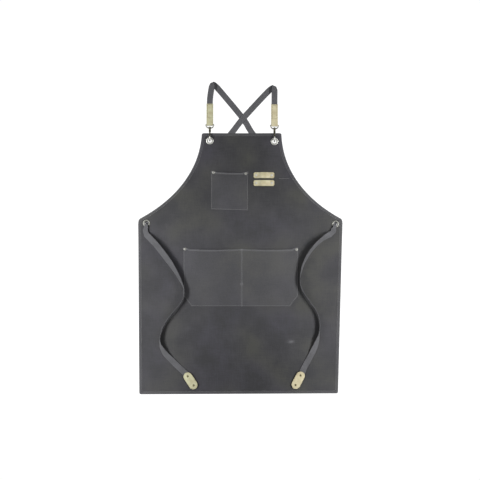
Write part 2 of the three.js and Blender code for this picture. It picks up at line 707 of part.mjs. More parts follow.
// The strap turns over a round fold whose axis halves the angle between the two runs.
function foldRun(route) {
  const { heading, axis, out, lead } = foldFrame(route);
  const w = UP.clone().cross(heading);
  const steps = 6;
  const level = STRAP_THICK / 2 + 2 * FOLD_RADIUS;
  const sections = [];
  for (let i = 0; i <= steps; i += 1) {
    const turn = (Math.PI * i) / steps;
    const n = out.clone().multiplyScalar(Math.sin(turn)).addScaledVector(UP, Math.cos(turn));
    const edge = (q) => {
      const p = (turn * FOLD_RADIUS - q * w.dot(out)) / heading.dot(out);
      const slide = p * heading.dot(axis) + q * w.dot(axis);
      const z = level - FOLD_RADIUS * (1 - Math.cos(turn));
      const reach = FOLD_RADIUS * Math.sin(turn);
      return flat(route.fold, z).sub(lead).addScaledVector(axis, slide).addScaledVector(out, reach);
    };
    const half = gathered(Math.abs(turn - Math.PI / 2) * FOLD_RADIUS) / 2;
    sections.push(edgeSection(edge(half), edge(-half), n, STRAP_THICK));
  }
  return sections;
}

// Face down along the floor, over or under the other strap, to the back of the waist grommet.
function floorRun(route, arrive) {
  const points = [route.fold, ...route.floor, arrive].map((p) => flat(p));
  points[0].add(foldFrame(route).lead);
  const curve = new THREE.CatmullRomCurve3(points, false, "catmullrom", 0.5);
  const down = UP.clone().negate();
  const steps = 30;
  const sections = [];
  for (let i = 2; i <= steps; i += 1) {
    const t = i / steps;
    const centre = curve.getPoint(t);
    const heading = curve.getTangent(t);
    const width = gathered(centre.distanceTo(points[0]) + (Math.PI / 2) * FOLD_RADIUS);
    const away = Math.hypot(centre.x - CROSSING.x, centre.y - CROSSING.y);
    centre.z = STRAP_THICK / 2 + route.over * fade(away, 16, 26);
    sections.push(section(centre, down.clone().cross(heading), down, width, STRAP_THICK));
  }
  return { sections, heading: curve.getTangent(1) };
}

// Gathered narrow, up through the bore and out over its rim.
function boreRun(hole, come, go) {
  const rows = [
    { along: -34, out: 0, z: 1.3, pitch: 0, width: 17, thick: 2.2 },
    { along: -18, out: 0, z: 1.6, pitch: 0, width: 15, thick: 2.6 },
    { along: -6, out: 0, z: 1.8, pitch: 3, width: 14, thick: 2.9 },
    { along: 2.5, out: 0.4, z: 2.1, pitch: 16, width: 13, thick: 3 },
    { along: 1.2, out: 1.6, z: 4.2, pitch: 62, width: 9, thick: 3.3 },
    { along: 0.2, out: 2.4, z: 6.6, pitch: 88, width: 8.4, thick: 3.6 },
    { along: 0, out: 2.5, z: 8.4, pitch: 92, width: 8.4, thick: 3.6 },
    { along: 0, out: 4.2, z: 10.9, pitch: 135, width: 9.4, thick: 3.6 },
    { along: 0, out: 9, z: 12.2, pitch: 172, width: 12, thick: 3.1 },
    { along: 0, out: 16.5, z: 13, pitch: 173, width: 15, thick: 2.6 },
    { along: 0, out: 26, z: 13.8, pitch: 173, width: 18.5, thick: 2 },
  ];
  const turn = Math.atan2(come.x * go.y - come.y * go.x, come.dot(go));
  return rows.map((row) => {
    const share = THREE.MathUtils.smoothstep(row.pitch, 40, 100);
    const facing = come.clone().applyAxisAngle(UP, turn * share);
    const pitch = degrees(row.pitch);
    const bearing = row.pitch > 90 ? go : facing;
    const heading = bearing.clone().multiplyScalar(Math.abs(Math.cos(pitch)));
    heading.addScaledVector(UP, Math.sin(pitch)).normalize();
    const w = UP.clone().negate().cross(bearing);
    const n = heading.clone().cross(w);
    const centre = flat(hole, row.z).addScaledVector(come, row.along).addScaledVector(go, row.out);
    return section(centre, w, n, row.width, row.thick);
  });
}

// Along the front, resting on whatever lies there, leaning over as the table says.
function tieRun(rows, tab, spring) {
  const tabHeading = flat(tab.heading).normalize();
  const tabStart = new THREE.Vector3(tab.x, tab.y, 0).addScaledVector(tabHeading, -tab.length / 2 + 2);
  const tabEnd = new THREE.Vector3(tab.x, tab.y, 0).addScaledVector(tabHeading, tab.length / 2 - 6);
  const knots = [...rows.map((r) => new THREE.Vector3(r.x, r.y, r.roll)), tabStart];
  const curve = new THREE.CatmullRomCurve3(knots, false, "catmullrom", 0.5);
  const steps = 3 * (knots.length - 1);
  const stations = [];
  for (let i = 0; i <= steps; i += 1) {
    const p = curve.getPoint(i / steps);
    const heading = curve.getTangent(i / steps).setZ(0).normalize();
    stations.push({ x: p.x, y: p.y, heading, roll: degrees(p.z), rest: 0 });
  }
  for (const s of stations) {
    const left = UP.clone().cross(s.heading);
    for (let q = -1.2; q <= 1.21; q += 0.2) {
      const reach = (q * STRAP_WIDTH * Math.cos(s.roll)) / 2 + 2 * Math.sign(q);
      const under = surfaceTop(s.x + left.x * reach, s.y + left.y * reach);
      const rise = (THREE.MathUtils.clamp(q, -1, 1) * STRAP_WIDTH * Math.sin(s.roll)) / 2;
      s.rest = Math.max(s.rest, under - rise);
    }
  }
  const level = TAB_STRAP_Z - STRAP_THICK / 2 - 2 * GAP;
  stations[steps].rest = level;
  const rests = stations.map((s) => s.rest);
  const eased = rests.map((rest, i) => {
    return Math.max(rest, ((rests[i - 1] ?? rest) + (rests[i + 1] ?? rest)) / 2);
  });
  const sections = stations.map((s, i) => {
    const left = UP.clone().cross(s.heading);
    const w = left.clone().multiplyScalar(-Math.cos(s.roll)).addScaledVector(UP, -Math.sin(s.roll));
    const n = left.clone().multiplyScalar(Math.sin(s.roll)).addScaledVector(UP, -Math.cos(s.roll));
    const half = (STRAP_THICK / 2) * Math.abs(Math.cos(s.roll));
    const sprung = Math.min(1, i / steps / TIE_SPRING.share);
    const arch = Math.sin(Math.PI * (TIE_SPRING.lead + (1 - TIE_SPRING.lead) * sprung)) ** 2;
    const z = eased[i] + spring * arch + 2 * GAP + half + 0.2 * Math.abs(Math.sin(s.roll));
    return section(new THREE.Vector3(s.x, s.y, z), w, n, STRAP_WIDTH, STRAP_THICK);
  });
  const down = UP.clone().negate();
  const across = down.clone().cross(tabHeading);
  sections.push(section(tabEnd.setZ(TAB_STRAP_Z), across, down, STRAP_WIDTH, STRAP_THICK));
  return sections;
}

const TAB_STRAP_Z = SHEET_Z + CANVAS + GAP + RIVET_BACK + GAP + STRAP_THICK / 2;

function strapSolid(route) {
  const hook = BIB_GROMMETS[route.side];
  const tabAt = new THREE.Vector3(hook.x, hook.y + EYE.barY, SWIVEL_Z);
  const hole = WAIST_GROMMETS[route.tie];
  const tab = END_TABS[route.tie];
  const arrive = new THREE.Vector2().subVectors(hole, route.floor.at(-1)).setLength(-52).add(hole);
  const front = frontRun(route, tabAt);
  const floor = floorRun(route, arrive);
  const fold = foldRun(route);
  const bore = boreRun(hole, floor.heading, flat(route.exit).normalize());
  const tie = tieRun(TIES[route.tie], tab, TIE_SPRING[route.tie]);
  let strap = toSolid(band([...front, ...fold, ...floor.sections, ...bore, ...tie]));
  for (const p of tabRivetPlaces(tab)) {
    strap = strap.subtract(holeAt(p, SMALL_RIVET.shank + GAP, 8));
  }
  return strap;
}

function tabRivetPlaces(tab) {
  const along = tab.heading.clone().normalize();
  const centre = new THREE.Vector2(tab.x, tab.y);
  return [-1, 1].map((end) => centre.clone().addScaledVector(along, end * tab.rivet));
}

// An oval of leather riveted on the end of a tie.
function endTabSolid(tab) {
  const half = tab.width / 2;
  const straight = tab.length / 2 - half;
  const shape = new THREE.Shape();
  shape.moveTo(-straight, -half + 1);
  shape.lineTo(straight, -half + 1);
  shape.absellipse(straight, 0, half, half - 1, -Math.PI / 2, Math.PI / 2, false);
  shape.lineTo(-straight, half - 1);
  shape.absellipse(-straight, 0, half, half - 1, Math.PI / 2, (3 * Math.PI) / 2, false);
  const low = TAB_STRAP_Z + STRAP_THICK / 2 + GAP;
  const oval = new THREE.ExtrudeGeometry(shape, { depth: LEATHER, bevelEnabled: false, curveSegments: 8 });
  oval.rotateZ(Math.atan2(tab.heading.y, tab.heading.x)).translate(tab.x, tab.y, low);
  let solid = toSolid(oval);
  for (const p of tabRivetPlaces(tab)) {
    solid = solid.subtract(holeAt(p, SMALL_RIVET.shank + GAP, 8));
  }
  return solid;
}

const apron = new THREE.Group();
apron.name = "canvas_apron";

function add(name, geometry, material) {
  const mesh = new THREE.Mesh(geometry, material);
  mesh.name = name;
  apron.add(mesh);
  return mesh;
}

// Canvas body and pockets, with holes for the rivets that go through both
const throughRivets = Object.values(POCKET_RIVETS).map((p) => ({ p, rivet: POCKET_RIVET }));
for (const y of Object.values(LOOP_Y)) {
  for (const side of [-1, 1]) {
    throughRivets.push({ p: new THREE.Vector2(LOOP.x + side * LOOP.rivet, y), rivet: SMALL_RIVET });
  }
}
add("canvas_panel", toGeometry(bodySolid(throughRivets)), materials.canvas);

function drilled(solid, names) {
  let result = solid;
  for (const name of names) {
    result = result.subtract(holeAt(POCKET_RIVETS[name], POCKET_RIVET.shank + GAP, 8));
  }
  return toGeometry(result);
}
add("chest_pocket", drilled(chestSolid(), ["rivet_chest_left", "rivet_chest_right"]), materials.canvas);
add("lower_pocket", drilled(lowerSolid(), ["rivet_lower_left", "rivet_lower_right"]), materials.canvas);

const rivetBack = SHEET_Z - GAP - RIVET_BACK;
for (const [name, p] of Object.entries(POCKET_RIVETS)) {
  const height = name.includes("chest") ? chestHeight : lowerHeight;
  let seat = 0;
  for (let i = 0; i < 12; i += 1) {
    const angle = (i * Math.PI) / 6;
    const x = p.x + POCKET_RIVET.head * Math.cos(angle);
    const y = p.y + POCKET_RIVET.head * Math.sin(angle);
    seat = Math.max(seat, POCKET_SEAT + height(x, y) + CANVAS + GAP);
  }
  add(name, toGeometry(rivetSolid(p, POCKET_RIVET, rivetBack, seat)), materials.nickel);
}

for (const [level, y] of Object.entries(LOOP_Y)) {
  add(sideName("tool_loop", level), toGeometry(loopSolid(y)), materials.leather);
  for (const [side, sign] of [["left", -1], ["right", 1]]) {
    const p = { x: LOOP.x + sign * LOOP.rivet, y };
    const rivet = rivetSolid(p, SMALL_RIVET, rivetBack, POCKET_SEAT + LEATHER + GAP);
    add(`rivet_loop_${level}_${side}`, toGeometry(rivet), materials.nickel);
  }
}

for (const side of ["left", "right"]) {
  const bib = BIB_GROMMETS[side];
  add(sideName("grommet_bib", side), toGeometry(grommetSolid(bib, BIB_LIFT)), materials.nickel);
  const waistGrommet = grommetSolid(WAIST_GROMMETS[side], WAIST_LIFT);
  add(sideName("grommet_waist", side), toGeometry(waistGrommet), materials.nickel);

  add(sideName("hook", side), toGeometry(hookSolid()), materials.nickel).position.set(bib.x, bib.y, 0);
  add(sideName("hook_gate", side), toGeometry(gateSolid()), materials.nickel).position.set(bib.x, bib.y, 0);
  add(sideName("hook_eye", side), toGeometry(eyeSolid()), materials.nickel).position.set(bib.x, bib.y, 0);

  const leather = add(sideName("strap_leather", side), tabGeometry(), materials.leather);
  leather.position.set(bib.x, bib.y + EYE.barY, SWIVEL_Z);
  leather.rotation.x = -degrees(TAB.fall);

  add(sideName("strap", side), toGeometry(strapSolid(ROUTES[side])), materials.webbing);

  const tab = END_TABS[side];
  add(sideName("end_tab", side), toGeometry(endTabSolid(tab)), materials.leather);
  const seat = TAB_STRAP_Z + STRAP_THICK / 2 + GAP + LEATHER + GAP;
  tabRivetPlaces(tab).forEach((p, i) => {
    const rivet = rivetSolid(p, SMALL_RIVET, SHEET_Z + CANVAS + GAP, seat);
    add(`rivet_tab_${side}_${i === 0 ? "inner" : "outer"}`, toGeometry(rivet), materials.brass);
  });
}

export default apron;
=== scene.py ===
# %% [markdown]
# # A canvas work apron, laid out flat
#
# This is a cross-back apron of charcoal cotton canvas. Two webbing straps leave snap hooks at the bib,
# fold over, cross, run down behind the body, come up through a grommet at each end of the waist and
# end on the front as long ties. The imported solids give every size. Here each soft piece is made again
# as real cloth, webbing or leather, the metal gets round edges, and every seam gets its stitches.

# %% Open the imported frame
import json
import math
from functools import partial

import bmesh
import bpy
import numpy as np
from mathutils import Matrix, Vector
from mathutils.geometry import delaunay_2d_cdt

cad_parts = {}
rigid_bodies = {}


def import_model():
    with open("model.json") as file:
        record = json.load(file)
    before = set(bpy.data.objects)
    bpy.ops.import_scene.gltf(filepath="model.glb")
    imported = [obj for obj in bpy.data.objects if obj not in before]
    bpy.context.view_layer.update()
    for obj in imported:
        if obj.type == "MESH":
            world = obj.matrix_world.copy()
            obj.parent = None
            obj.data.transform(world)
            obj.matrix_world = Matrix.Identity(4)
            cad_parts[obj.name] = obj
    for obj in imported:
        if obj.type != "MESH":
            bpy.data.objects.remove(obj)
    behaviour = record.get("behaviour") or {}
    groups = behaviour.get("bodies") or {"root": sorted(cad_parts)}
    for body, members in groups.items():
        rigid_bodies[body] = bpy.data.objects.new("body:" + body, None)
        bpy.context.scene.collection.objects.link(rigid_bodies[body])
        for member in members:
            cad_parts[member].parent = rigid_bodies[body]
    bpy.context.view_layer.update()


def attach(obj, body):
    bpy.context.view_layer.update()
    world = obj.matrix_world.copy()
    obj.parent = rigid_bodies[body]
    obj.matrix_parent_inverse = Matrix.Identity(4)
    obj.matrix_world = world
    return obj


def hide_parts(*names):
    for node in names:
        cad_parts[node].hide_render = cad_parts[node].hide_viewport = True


for leftover in list(bpy.data.objects):
    bpy.data.objects.remove(leftover)
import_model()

# %% [markdown]
# ## Sizes
#
# All tables below are in millimetres, with x to the right and y up the apron as one looks at its front,
# and z up from the floor. They repeat the sizes that the solids were made from. Blender works in metres,
# but a mesh is only scaled to them when it is linked, so that a size here can be checked with a ruler.

# %% Stock, body and grommets
MM = 0.001
SIDES = ("left", "right")
CANVAS, LEATHER = 1.2, 2.0
STRAP_WIDTH, STRAP_THICK = 20.0, 1.8
GAP = 0.3

# Half the width, and the height, at the hem, the waist and the bib
HEM_HALF, WAIST_HALF, BIB_HALF = 333.8, 343.0, 133.6
HEM_Y, WAIST_Y, BIB_Y = -523.4, 55.0, 351.8
SHEET_Z = 2 * CANVAS
CORNER = 7.0
# The armhole's lower end, and the pull and the lean in degrees of its curve at both ends
ARMHOLE_END = np.array([336.0, 65.8])
ARMHOLE_PULL = {"top": 166.0, "top_lean": 3.75, "end": 70.8, "end_lean": 61.5}
# How far the cloth lies askew: sideways for each millimetre up, and upwards at the hem's right corner
LEAN = {"bib": 0.0144, "skirt": 0.0098}
HEM_RISE = 1.6

BIB_GROMMETS = {"left": (-102.3, 326.3), "right": (114.6, 323.9)}
WAIST_GROMMETS = {"left": (-314.3, 49.4), "right": (318.8, 47.0)}
BIB_LIFT, WAIST_LIFT, CROSS_LIFT = 4.3, 3.2, 2.3
print("body", 2 * WAIST_HALF, "mm wide,", round(BIB_Y - HEM_Y, 1), "mm from hem to bib")

# %% Pockets, loops and rivets
DIVIDER_X = 4.6
CHEST = {
    "x0": -98.9, "x1": 26.8, "y0": 94.0, "y1": 224.4,
    "gape": 8.0, "dip": 3.6, "slope": -0.03, "dividers": [],
}
LOWER = {
    "x0": -191.3, "x1": 194.1, "y0": -229.5, "y1": -31.6,
    "gape": 9.0, "dip": 5.2, "slope": 0.0, "dividers": [DIVIDER_X],
}
# The lower pocket's corners are clipped by this much across and up.
CLIP = (27.0, 36.0)
MOUTH_HEM = 10.0
MOUTH_SAG = 0.25
POCKET_SEAT = SHEET_Z + CANVAS + GAP
LOOP = {"x": 79.4, "length": 70.0, "width": 20.5, "arch": 6.4, "seat": 14.0, "rivet": 26.0}
LOOP_Y = {"upper": 210.7, "lower": 184.5}
POCKET_RIVETS = {
    "rivet_chest_left": (-90.0, 219.4),
    "rivet_chest_right": (18.6, 216.2),
    "rivet_lower_left": (-185.6, -37.4),
    "rivet_lower_right": (188.6, -38.8),
}
print("pockets", *(round(pocket["x1"] - pocket["x0"], 1) for pocket in (CHEST, LOWER)), "mm wide")

# %% Hooks and leather ends
BAR, HOOK_WIDTH = 3.6, 4.6
HOOK_LOW, HOOK_HIGH = 0.4, 19.4
BOW_Y = 7.0
BLOCK = {"y0": 28.6, "y1": 36.4, "z1": 16.1, "width": 7.0, "slot_half": 2.3, "slot_z": 10.5, "bevel": 0.45}
PIVOT = {"y": 31.8, "z": 14.1, "radius": 1.0, "inset": 0.2}
SWIVEL_Z = 8.0
EYE = {"bar_y": 54.5, "bar": 3.0, "inner_half": 12.2, "depth": 8.6, "bow": 4.8}
TAB = {"width": 22.4, "length": 70.0, "wrap": 2.6, "fall": 3.36}
print("hooks", HOOK_HIGH - HOOK_LOW, "mm high, leather ends", TAB["length"], "mm long")

# %% Ways of the straps
FOLD_RADIUS = 5.0
GATHER = {"share": 0.4, "reach": 9.5}
CROSSING = (9.0, 401.0)
ROUTES = {
    "left": {
        "tie": "right",
        "fold": (-92.4, 517.0),
        "over": 0.0,
        "floor": [(-58, 482), (9, 401), (40, 352), (96, 280), (150, 200), (205, 125)],
        "exit": (-0.3, -0.954),
    },
    "right": {
        "tie": "left",
        "fold": (111.6, 505.6),
        "over": 2.2,
        "floor": [(74, 472), (9, 401), (-30, 352), (-90, 280), (-145, 200), (-202, 125)],
        "exit": (-0.14, -0.99),
    },
}
# Each row of a tie is x, y and the roll in degrees: 0 lies flat, 90 stands on its edge, more leans back.
TIES = {
    "left": [
        (-314.5, 11.5, 2), (-301, -2, 3), (-281, -23, 5), (-249, -64, 12), (-223.5, -101, 40),
        (-200.5, -142, 66), (-188, -176, 86), (-192.5, -208, 100), (-220, -247.6, 112), (-249.5, -283.9, 106),
        (-267, -324.9, 92), (-268, -355.8, 72), (-252.5, -386.4, 24), (-228, -412.3, 4), (-203, -437, 0),
    ],
    "right": [
        (302, 13, -14), (283, 2.5, -40), (260, -15.5, -56), (240, -37, -60), (222, -65, -64),
        (207.5, -98, -74), (200, -139.8, -90), (207, -175.7, -100), (228.4, -211.7, -112),
        (253.5, -248, -106), (265, -283.9, -96), (264, -319.9, -80), (255, -354, -36), (239.5, -388, -8),
        (217, -430, 0),
    ],
}
# Stiff webbing springs clear of the cloth over the first share of a tie, already part way up at the bore.
TIE_SPRING = {"left": 20.0, "right": 14.0, "share": 0.38, "lead": 0.2}
END_TABS = {
    "left": {"middle": (-167.0, -479.0), "heading": (0.55, -0.835)},
    "right": {"middle": (194.0, -477.0), "heading": (-0.46, -0.888)},
}
END_TAB = {"length": 63.0, "width": 32.0, "rivet": 18.2}
RIVET_BACK = 0.8
TAB_STRAP_Z = SHEET_Z + CANVAS + GAP + RIVET_BACK + GAP + STRAP_THICK / 2
print("straps fold over at", [ROUTES[side]["fold"] for side in SIDES])

# %% [markdown]
# ## Finishes
#
# Every finish is a small node tree that starts from the real material. An image of cloth or hide could be
# wrapped round instead, but it repeats, blurs in a close view and keeps the light it was taken in.
# Patterns read Object coordinates, which are metres in the frame, or the webbing's own UV map, which runs
# along the strap. Thread and rib spacings are real ones where a close view can show them. One helper adds
# a node, sets it and links it.

# %% Helpers for node trees
NOISE, WAVE, BUMP = "ShaderNodeTexNoise", "ShaderNodeTexWave", "ShaderNodeBump"
MIX, RANGE, MATH = "ShaderNodeMix", "ShaderNodeMapRange", "ShaderNodeMath"
# A Mix node has the same names for numbers, vectors and colours, so its colour sockets go by number.
SHARE, FIRST, SECOND = 0, 6, 7


def to_linear(hex_colour):
    """Linear RGBA of an sRGB hex colour."""
    channels = [int(hex_colour[i : i + 2], 16) / 255 for i in (0, 2, 4)]
    return [c / 12.92 if c <= 0.04045 else ((c + 0.055) / 1.055) ** 2.4 for c in channels] + [1.0]


def add_node(tree, kind, inputs=None, **settings):
    """A node with its settings; an input is a value, a socket, or a node that lends its first live output."""
    node = tree.nodes.new(kind)
    for name, value in settings.items():
        setattr(node, name, value)
    for socket, value in (inputs or {}).items():
        if isinstance(value, bpy.types.Node):
            value = next(output for output in value.outputs if output.enabled)
        if isinstance(value, bpy.types.NodeSocket):
            tree.links.new(value, node.inputs[socket])
        else:
            node.inputs[socket].default_value = value
    return node


def new_material(name):
    """An empty material, its tree, and a socket with each point's place in the frame."""
    material = bpy.data.materials.new(name)
    material.use_nodes = True
    tree = material.node_tree
    tree.nodes.clear()
    return material, tree, add_node(tree, "ShaderNodeTexCoord").outputs["Object"]


def close_material(tree, inputs):
    """The shader with its inputs, joined to the output."""
    shader = add_node(tree, "ShaderNodeBsdfPrincipled", inputs)
    add_node(tree, "ShaderNodeOutputMaterial", {"Surface": shader})


def wave_scale(spacing_mm):
    """Scale that gives a Wave texture one crest for each spacing."""
    return 2 * math.pi / (20 * spacing_mm * MM)


def per_metre(size_mm):
    """Scale that gives a Noise or Voronoi texture features of about this size."""
    return 1 / (size_mm * MM)


print("a pattern of 1 mm has a noise scale of", per_metre(1), "and a wave scale of", round(wave_scale(1)))

# %% [markdown]
# ### Charcoal canvas
#
# Heavy cotton duck is a plain weave: warp and weft cross one over one. It is piece-dyed, so the colour is
# cloudy over a hand's breadth, single threads are paler or darker slubs, and the raised edges of seams
# rub pale. A broad band across the middle and the lower sides are paler too. Along the pocket mouths the
# pale band is partly a painted highlight. It scatters light and has a little fuzz. The weave is drawn at
# 1.6 mm, about twice the real spacing, because a finer one vanishes in any view of the whole apron.

# %% Canvas
CANVAS_DARK, CANVAS_PALE_AND_LIT = to_linear("2f2f31"), to_linear("86868a")
CANVAS_COOL, CANVAS_WARM = to_linear("3a393f"), to_linear("3c3c39")
WEAVE_MM, SLUB_MM = 1.6, 3.2


def canvas_material():
    material, tree, place = new_material("charcoal_cotton_duck")
    clouds = add_node(tree, NOISE, {"Vector": place, "Scale": per_metre(95), "Detail": 3.0})
    dye_lots = add_node(tree, NOISE, {"Vector": place, "Scale": per_metre(180), "Detail": 1.0})
    hue = add_node(tree, RANGE, {"Value": dye_lots, "From Min": 0.38, "From Max": 0.62})
    pale = add_node(tree, MIX, {SHARE: hue, FIRST: CANVAS_COOL, SECOND: CANVAS_WARM}, data_type="RGBA")
    # Slubs are drawn out along the warp and along the weft, and the crests of both weaves make the relief.
    threads, crests = [], []
    for direction, stretch in (("X", (1.0, 0.12, 1.0)), ("Y", (0.12, 1.0, 1.0))):
        along = add_node(tree, "ShaderNodeMapping", {"Vector": place, "Scale": stretch})
        threads.append(add_node(tree, NOISE, {"Vector": along, "Scale": per_metre(SLUB_MM), "Detail": 2.0}))
        uneven = {"Vector": place, "Scale": wave_scale(WEAVE_MM), "Distortion": 0.6, "Detail": 1.0}
        crests.append(add_node(tree, WAVE, uneven, bands_direction=direction).outputs["Fac"])
    slubs = add_node(tree, MATH, {0: threads[0], 1: threads[1]}, operation="ADD")
    tone = add_node(tree, MATH, {0: slubs, 1: 0.25, 2: clouds}, operation="MULTIPLY_ADD")
    share = add_node(tree, RANGE, {"Value": tone, "From Min": 0.6, "From Max": 0.9})
    dyed = add_node(tree, MIX, {SHARE: share, FIRST: CANVAS_DARK, SECOND: pale}, data_type="RGBA")
    # This attribute takes the cloth towards its pale colour. It covers wear at the hem, the scuff, the pocket
    # edges and the divider, and a broad paler band. Along the pocket mouths it is partly a painted highlight.
    marks_and_highlight = add_node(tree, "ShaderNodeAttribute", attribute_name="marks_and_highlight").outputs["Fac"]
    grit = add_node(tree, NOISE, {"Vector": place, "Scale": per_metre(4), "Detail": 4.0})
    patchy = add_node(tree, RANGE, {"Value": grit, "To Min": 0.33, "To Max": 0.67})
    paled_and_lit = add_node(tree, MATH, {0: marks_and_highlight, 1: patchy}, operation="MULTIPLY")
    colour = add_node(tree, MIX, {SHARE: paled_and_lit, FIRST: dyed, SECOND: CANVAS_PALE_AND_LIT}, data_type="RGBA")
    crossing = add_node(tree, MATH, {0: crests[0], 1: crests[1]}, operation="MAXIMUM")
    relief = add_node(tree, MATH, {0: crossing, 1: slubs}, operation="ADD")
    bump = add_node(tree, BUMP, {"Height": relief, "Strength": 0.55, "Distance": 0.35 * MM})
    cloth = {"Roughness": 0.92, "Specular IOR Level": 0.25, "Sheen Weight": 0.06, "Sheen Roughness": 0.6}
    close_material(tree, {"Base Color": colour, "Normal": bump, **cloth})
    return material


canvas = canvas_material()
print("made", canvas.name, "from", len(canvas.node_tree.nodes), "nodes")

# %% [markdown]
# ### Cotton webbing
#
# The straps are narrow-woven webbing. Its ribs run slantwise from both edges to a line down the middle,
# as in any herringbone tape, and the selvedges are denser and a little darker. The pattern follows the
# strap through folds and turns, so it reads the UV map: u across, v along, both in metres.

# %% Webbing
RIB_MM = 2.4


def webbing_material():
    material, tree, place = new_material("herringbone_cotton_webbing")
    tape = add_node(tree, "ShaderNodeTexCoord").outputs["UV"]
    at = add_node(tree, "ShaderNodeSeparateXYZ", {0: tape}).outputs
    side = add_node(tree, MATH, {0: at["X"]}, operation="ABSOLUTE")
    slant = add_node(tree, MATH, {0: side, 1: 0.7, 2: at["Y"]}, operation="MULTIPLY_ADD")
    ribs_at = add_node(tree, "ShaderNodeCombineXYZ", {"X": slant})
    ribs = add_node(tree, WAVE, {"Vector": ribs_at, "Scale": wave_scale(RIB_MM)}).outputs["Fac"]
    clouds = add_node(tree, NOISE, {"Vector": place, "Scale": per_metre(30), "Detail": 4.0})
    selvedge = {"From Min": 8.4 * MM, "From Max": 10 * MM, "To Min": 1.0, "To Max": 0.7}
    edge = add_node(tree, RANGE, {"Value": side, **selvedge})
    tone = add_node(tree, MATH, {0: ribs, 1: 0.45, 2: clouds}, operation="MULTIPLY_ADD")
    share = add_node(tree, MATH, {0: tone, 1: edge}, operation="MULTIPLY")
    greys = {FIRST: to_linear("424244"), SECOND: to_linear("5a5a5d")}
    colour = add_node(tree, MIX, {SHARE: share, **greys}, data_type="RGBA")
    bump = add_node(tree, BUMP, {"Height": ribs, "Strength": 0.7, "Distance": 0.4 * MM})
    cloth = {"Roughness": 0.88, "Specular IOR Level": 0.25, "Sheen Weight": 0.08}
    close_material(tree, {"Base Color": colour, "Normal": bump, **cloth})
    return material


webbing = webbing_material()
print("made", webbing.name, "with ribs of", RIB_MM, "mm")

# %% [markdown]
# ### Vegetable-tanned leather
#
# Undyed cowhide, pale straw with a faint green cast, and a little more tan in the pieces that were cut
# from another part of the hide, on the right. The hair side has a pebbled grain of about a millimetre,
# cloudy patches where it took up more oil, and cut edges that are burnished darker.

# %% Leather
GRAIN_MM = 1.1


def leather_material():
    material, tree, place = new_material("undyed_cowhide")
    pebbles = {"Vector": place, "Scale": per_metre(GRAIN_MM), "Randomness": 0.9}
    grain = add_node(tree, "ShaderNodeTexVoronoi", pebbles)
    clouds = add_node(tree, NOISE, {"Vector": place, "Scale": per_metre(16), "Detail": 5.0})
    oil = add_node(tree, RANGE, {"Value": clouds, "From Min": 0.32, "From Max": 0.7})
    across = add_node(tree, "ShaderNodeSeparateXYZ", {0: place}).outputs["X"]
    tan = add_node(tree, RANGE, {"Value": across, "From Min": -100 * MM, "From Max": 150 * MM})
    shades = []
    for straw, buff in (("b5b495", "c0b899"), ("a19b7c", "aa9f80")):
        hides = {FIRST: to_linear(straw), SECOND: to_linear(buff)}
        shades.append(add_node(tree, MIX, {SHARE: tan, **hides}, data_type="RGBA"))
    hide = add_node(tree, MIX, {SHARE: oil, FIRST: shades[0], SECOND: shades[1]}, data_type="RGBA")
    cut = add_node(tree, "ShaderNodeAttribute", attribute_name="marks_and_highlight").outputs["Fac"]
    burnished = {SHARE: cut, FIRST: hide, SECOND: to_linear("5e573f")}
    colour = add_node(tree, MIX, burnished, data_type="RGBA")
    gloss = add_node(tree, RANGE, {"Value": clouds, "To Min": 0.62, "To Max": 0.45})
    bump = add_node(tree, BUMP, {"Height": grain, "Strength": 0.35, "Distance": 0.25 * MM})
    look = {"Base Color": colour, "Roughness": gloss, "Normal": bump, "Specular IOR Level": 0.4}
    close_material(tree, look)
    return material


leather = leather_material()
print("made", leather.name, "with a grain of", GRAIN_MM, "mm")

# %% [markdown]
# ### Metal and thread
#
# The metal is nickel-plated steel in four shades: a bright satin on the hook bars, the loop rivets and the
# bib grommets, dull on the pocket rivets and the rings, a darker grey on the waist grommets, and a dark
# olive on the swivels, blocks, pins and gates. The bib and waist grommets are one nickel in a lit and a
# shaded copy: the bright satin paints a highlight on the bib grommets and the darker grey paints shade on
# the waist grommets. The dark olive paints dark reflection and shade on the swivel parts. The rivets
# of the tie ends are dark old brass. The seams are sewn with a heavy grey polyester thread, which varies
# a little from stitch to stitch because each one catches the light differently. All of them are mottled,
# so one function makes that pattern.

# %% Nickel, brass and thread
def mottled(tree, place, size_mm, detail, pale, dark):
    """A noise of about this size, and the colour that it blends from two others."""
    noise = add_node(tree, NOISE, {"Vector": place, "Scale": per_metre(size_mm), "Detail": detail})
    both = {FIRST: to_linear(pale), SECOND: to_linear(dark)}
    return noise, add_node(tree, MIX, {SHARE: noise, **both}, data_type="RGBA")


def plated_material(name, clean, stained, smooth, hazy):
    material, tree, place = new_material(name)
    haze, tint = mottled(tree, place, 5, 5.0, clean, stained)
    dulled = {"From Min": 0.3, "From Max": 0.7, "To Min": smooth, "To Max": hazy}
    gloss = add_node(tree, RANGE, {"Value": haze, **dulled})
    close_material(tree, {"Base Color": tint, "Roughness": gloss, "Metallic": 1.0})
    return material


def thread_material(name, pale, dark):
    material, tree, place = new_material(name)
    _, colour = mottled(tree, place, 6, 2.0, pale, dark)
    close_material(tree, {"Base Color": colour, "Roughness": 0.6, "Specular IOR Level": 0.4})
    return material


# The bright satin serves the hook bars and loop rivets, and on the bib grommets it paints a highlight.
bright_nickel = plated_material("satin_nickel", "cfcfca", "b0b0aa", 0.4, 0.58)
dull_nickel = plated_material("dull_nickel", "a4a4a0", "84847e", 0.5, 0.65)
# A darker copy of the nickel for the waist grommets, which paints shade on them.
shaded_nickel = plated_material("shaded_nickel", "868681", "60605b", 0.45, 0.6)
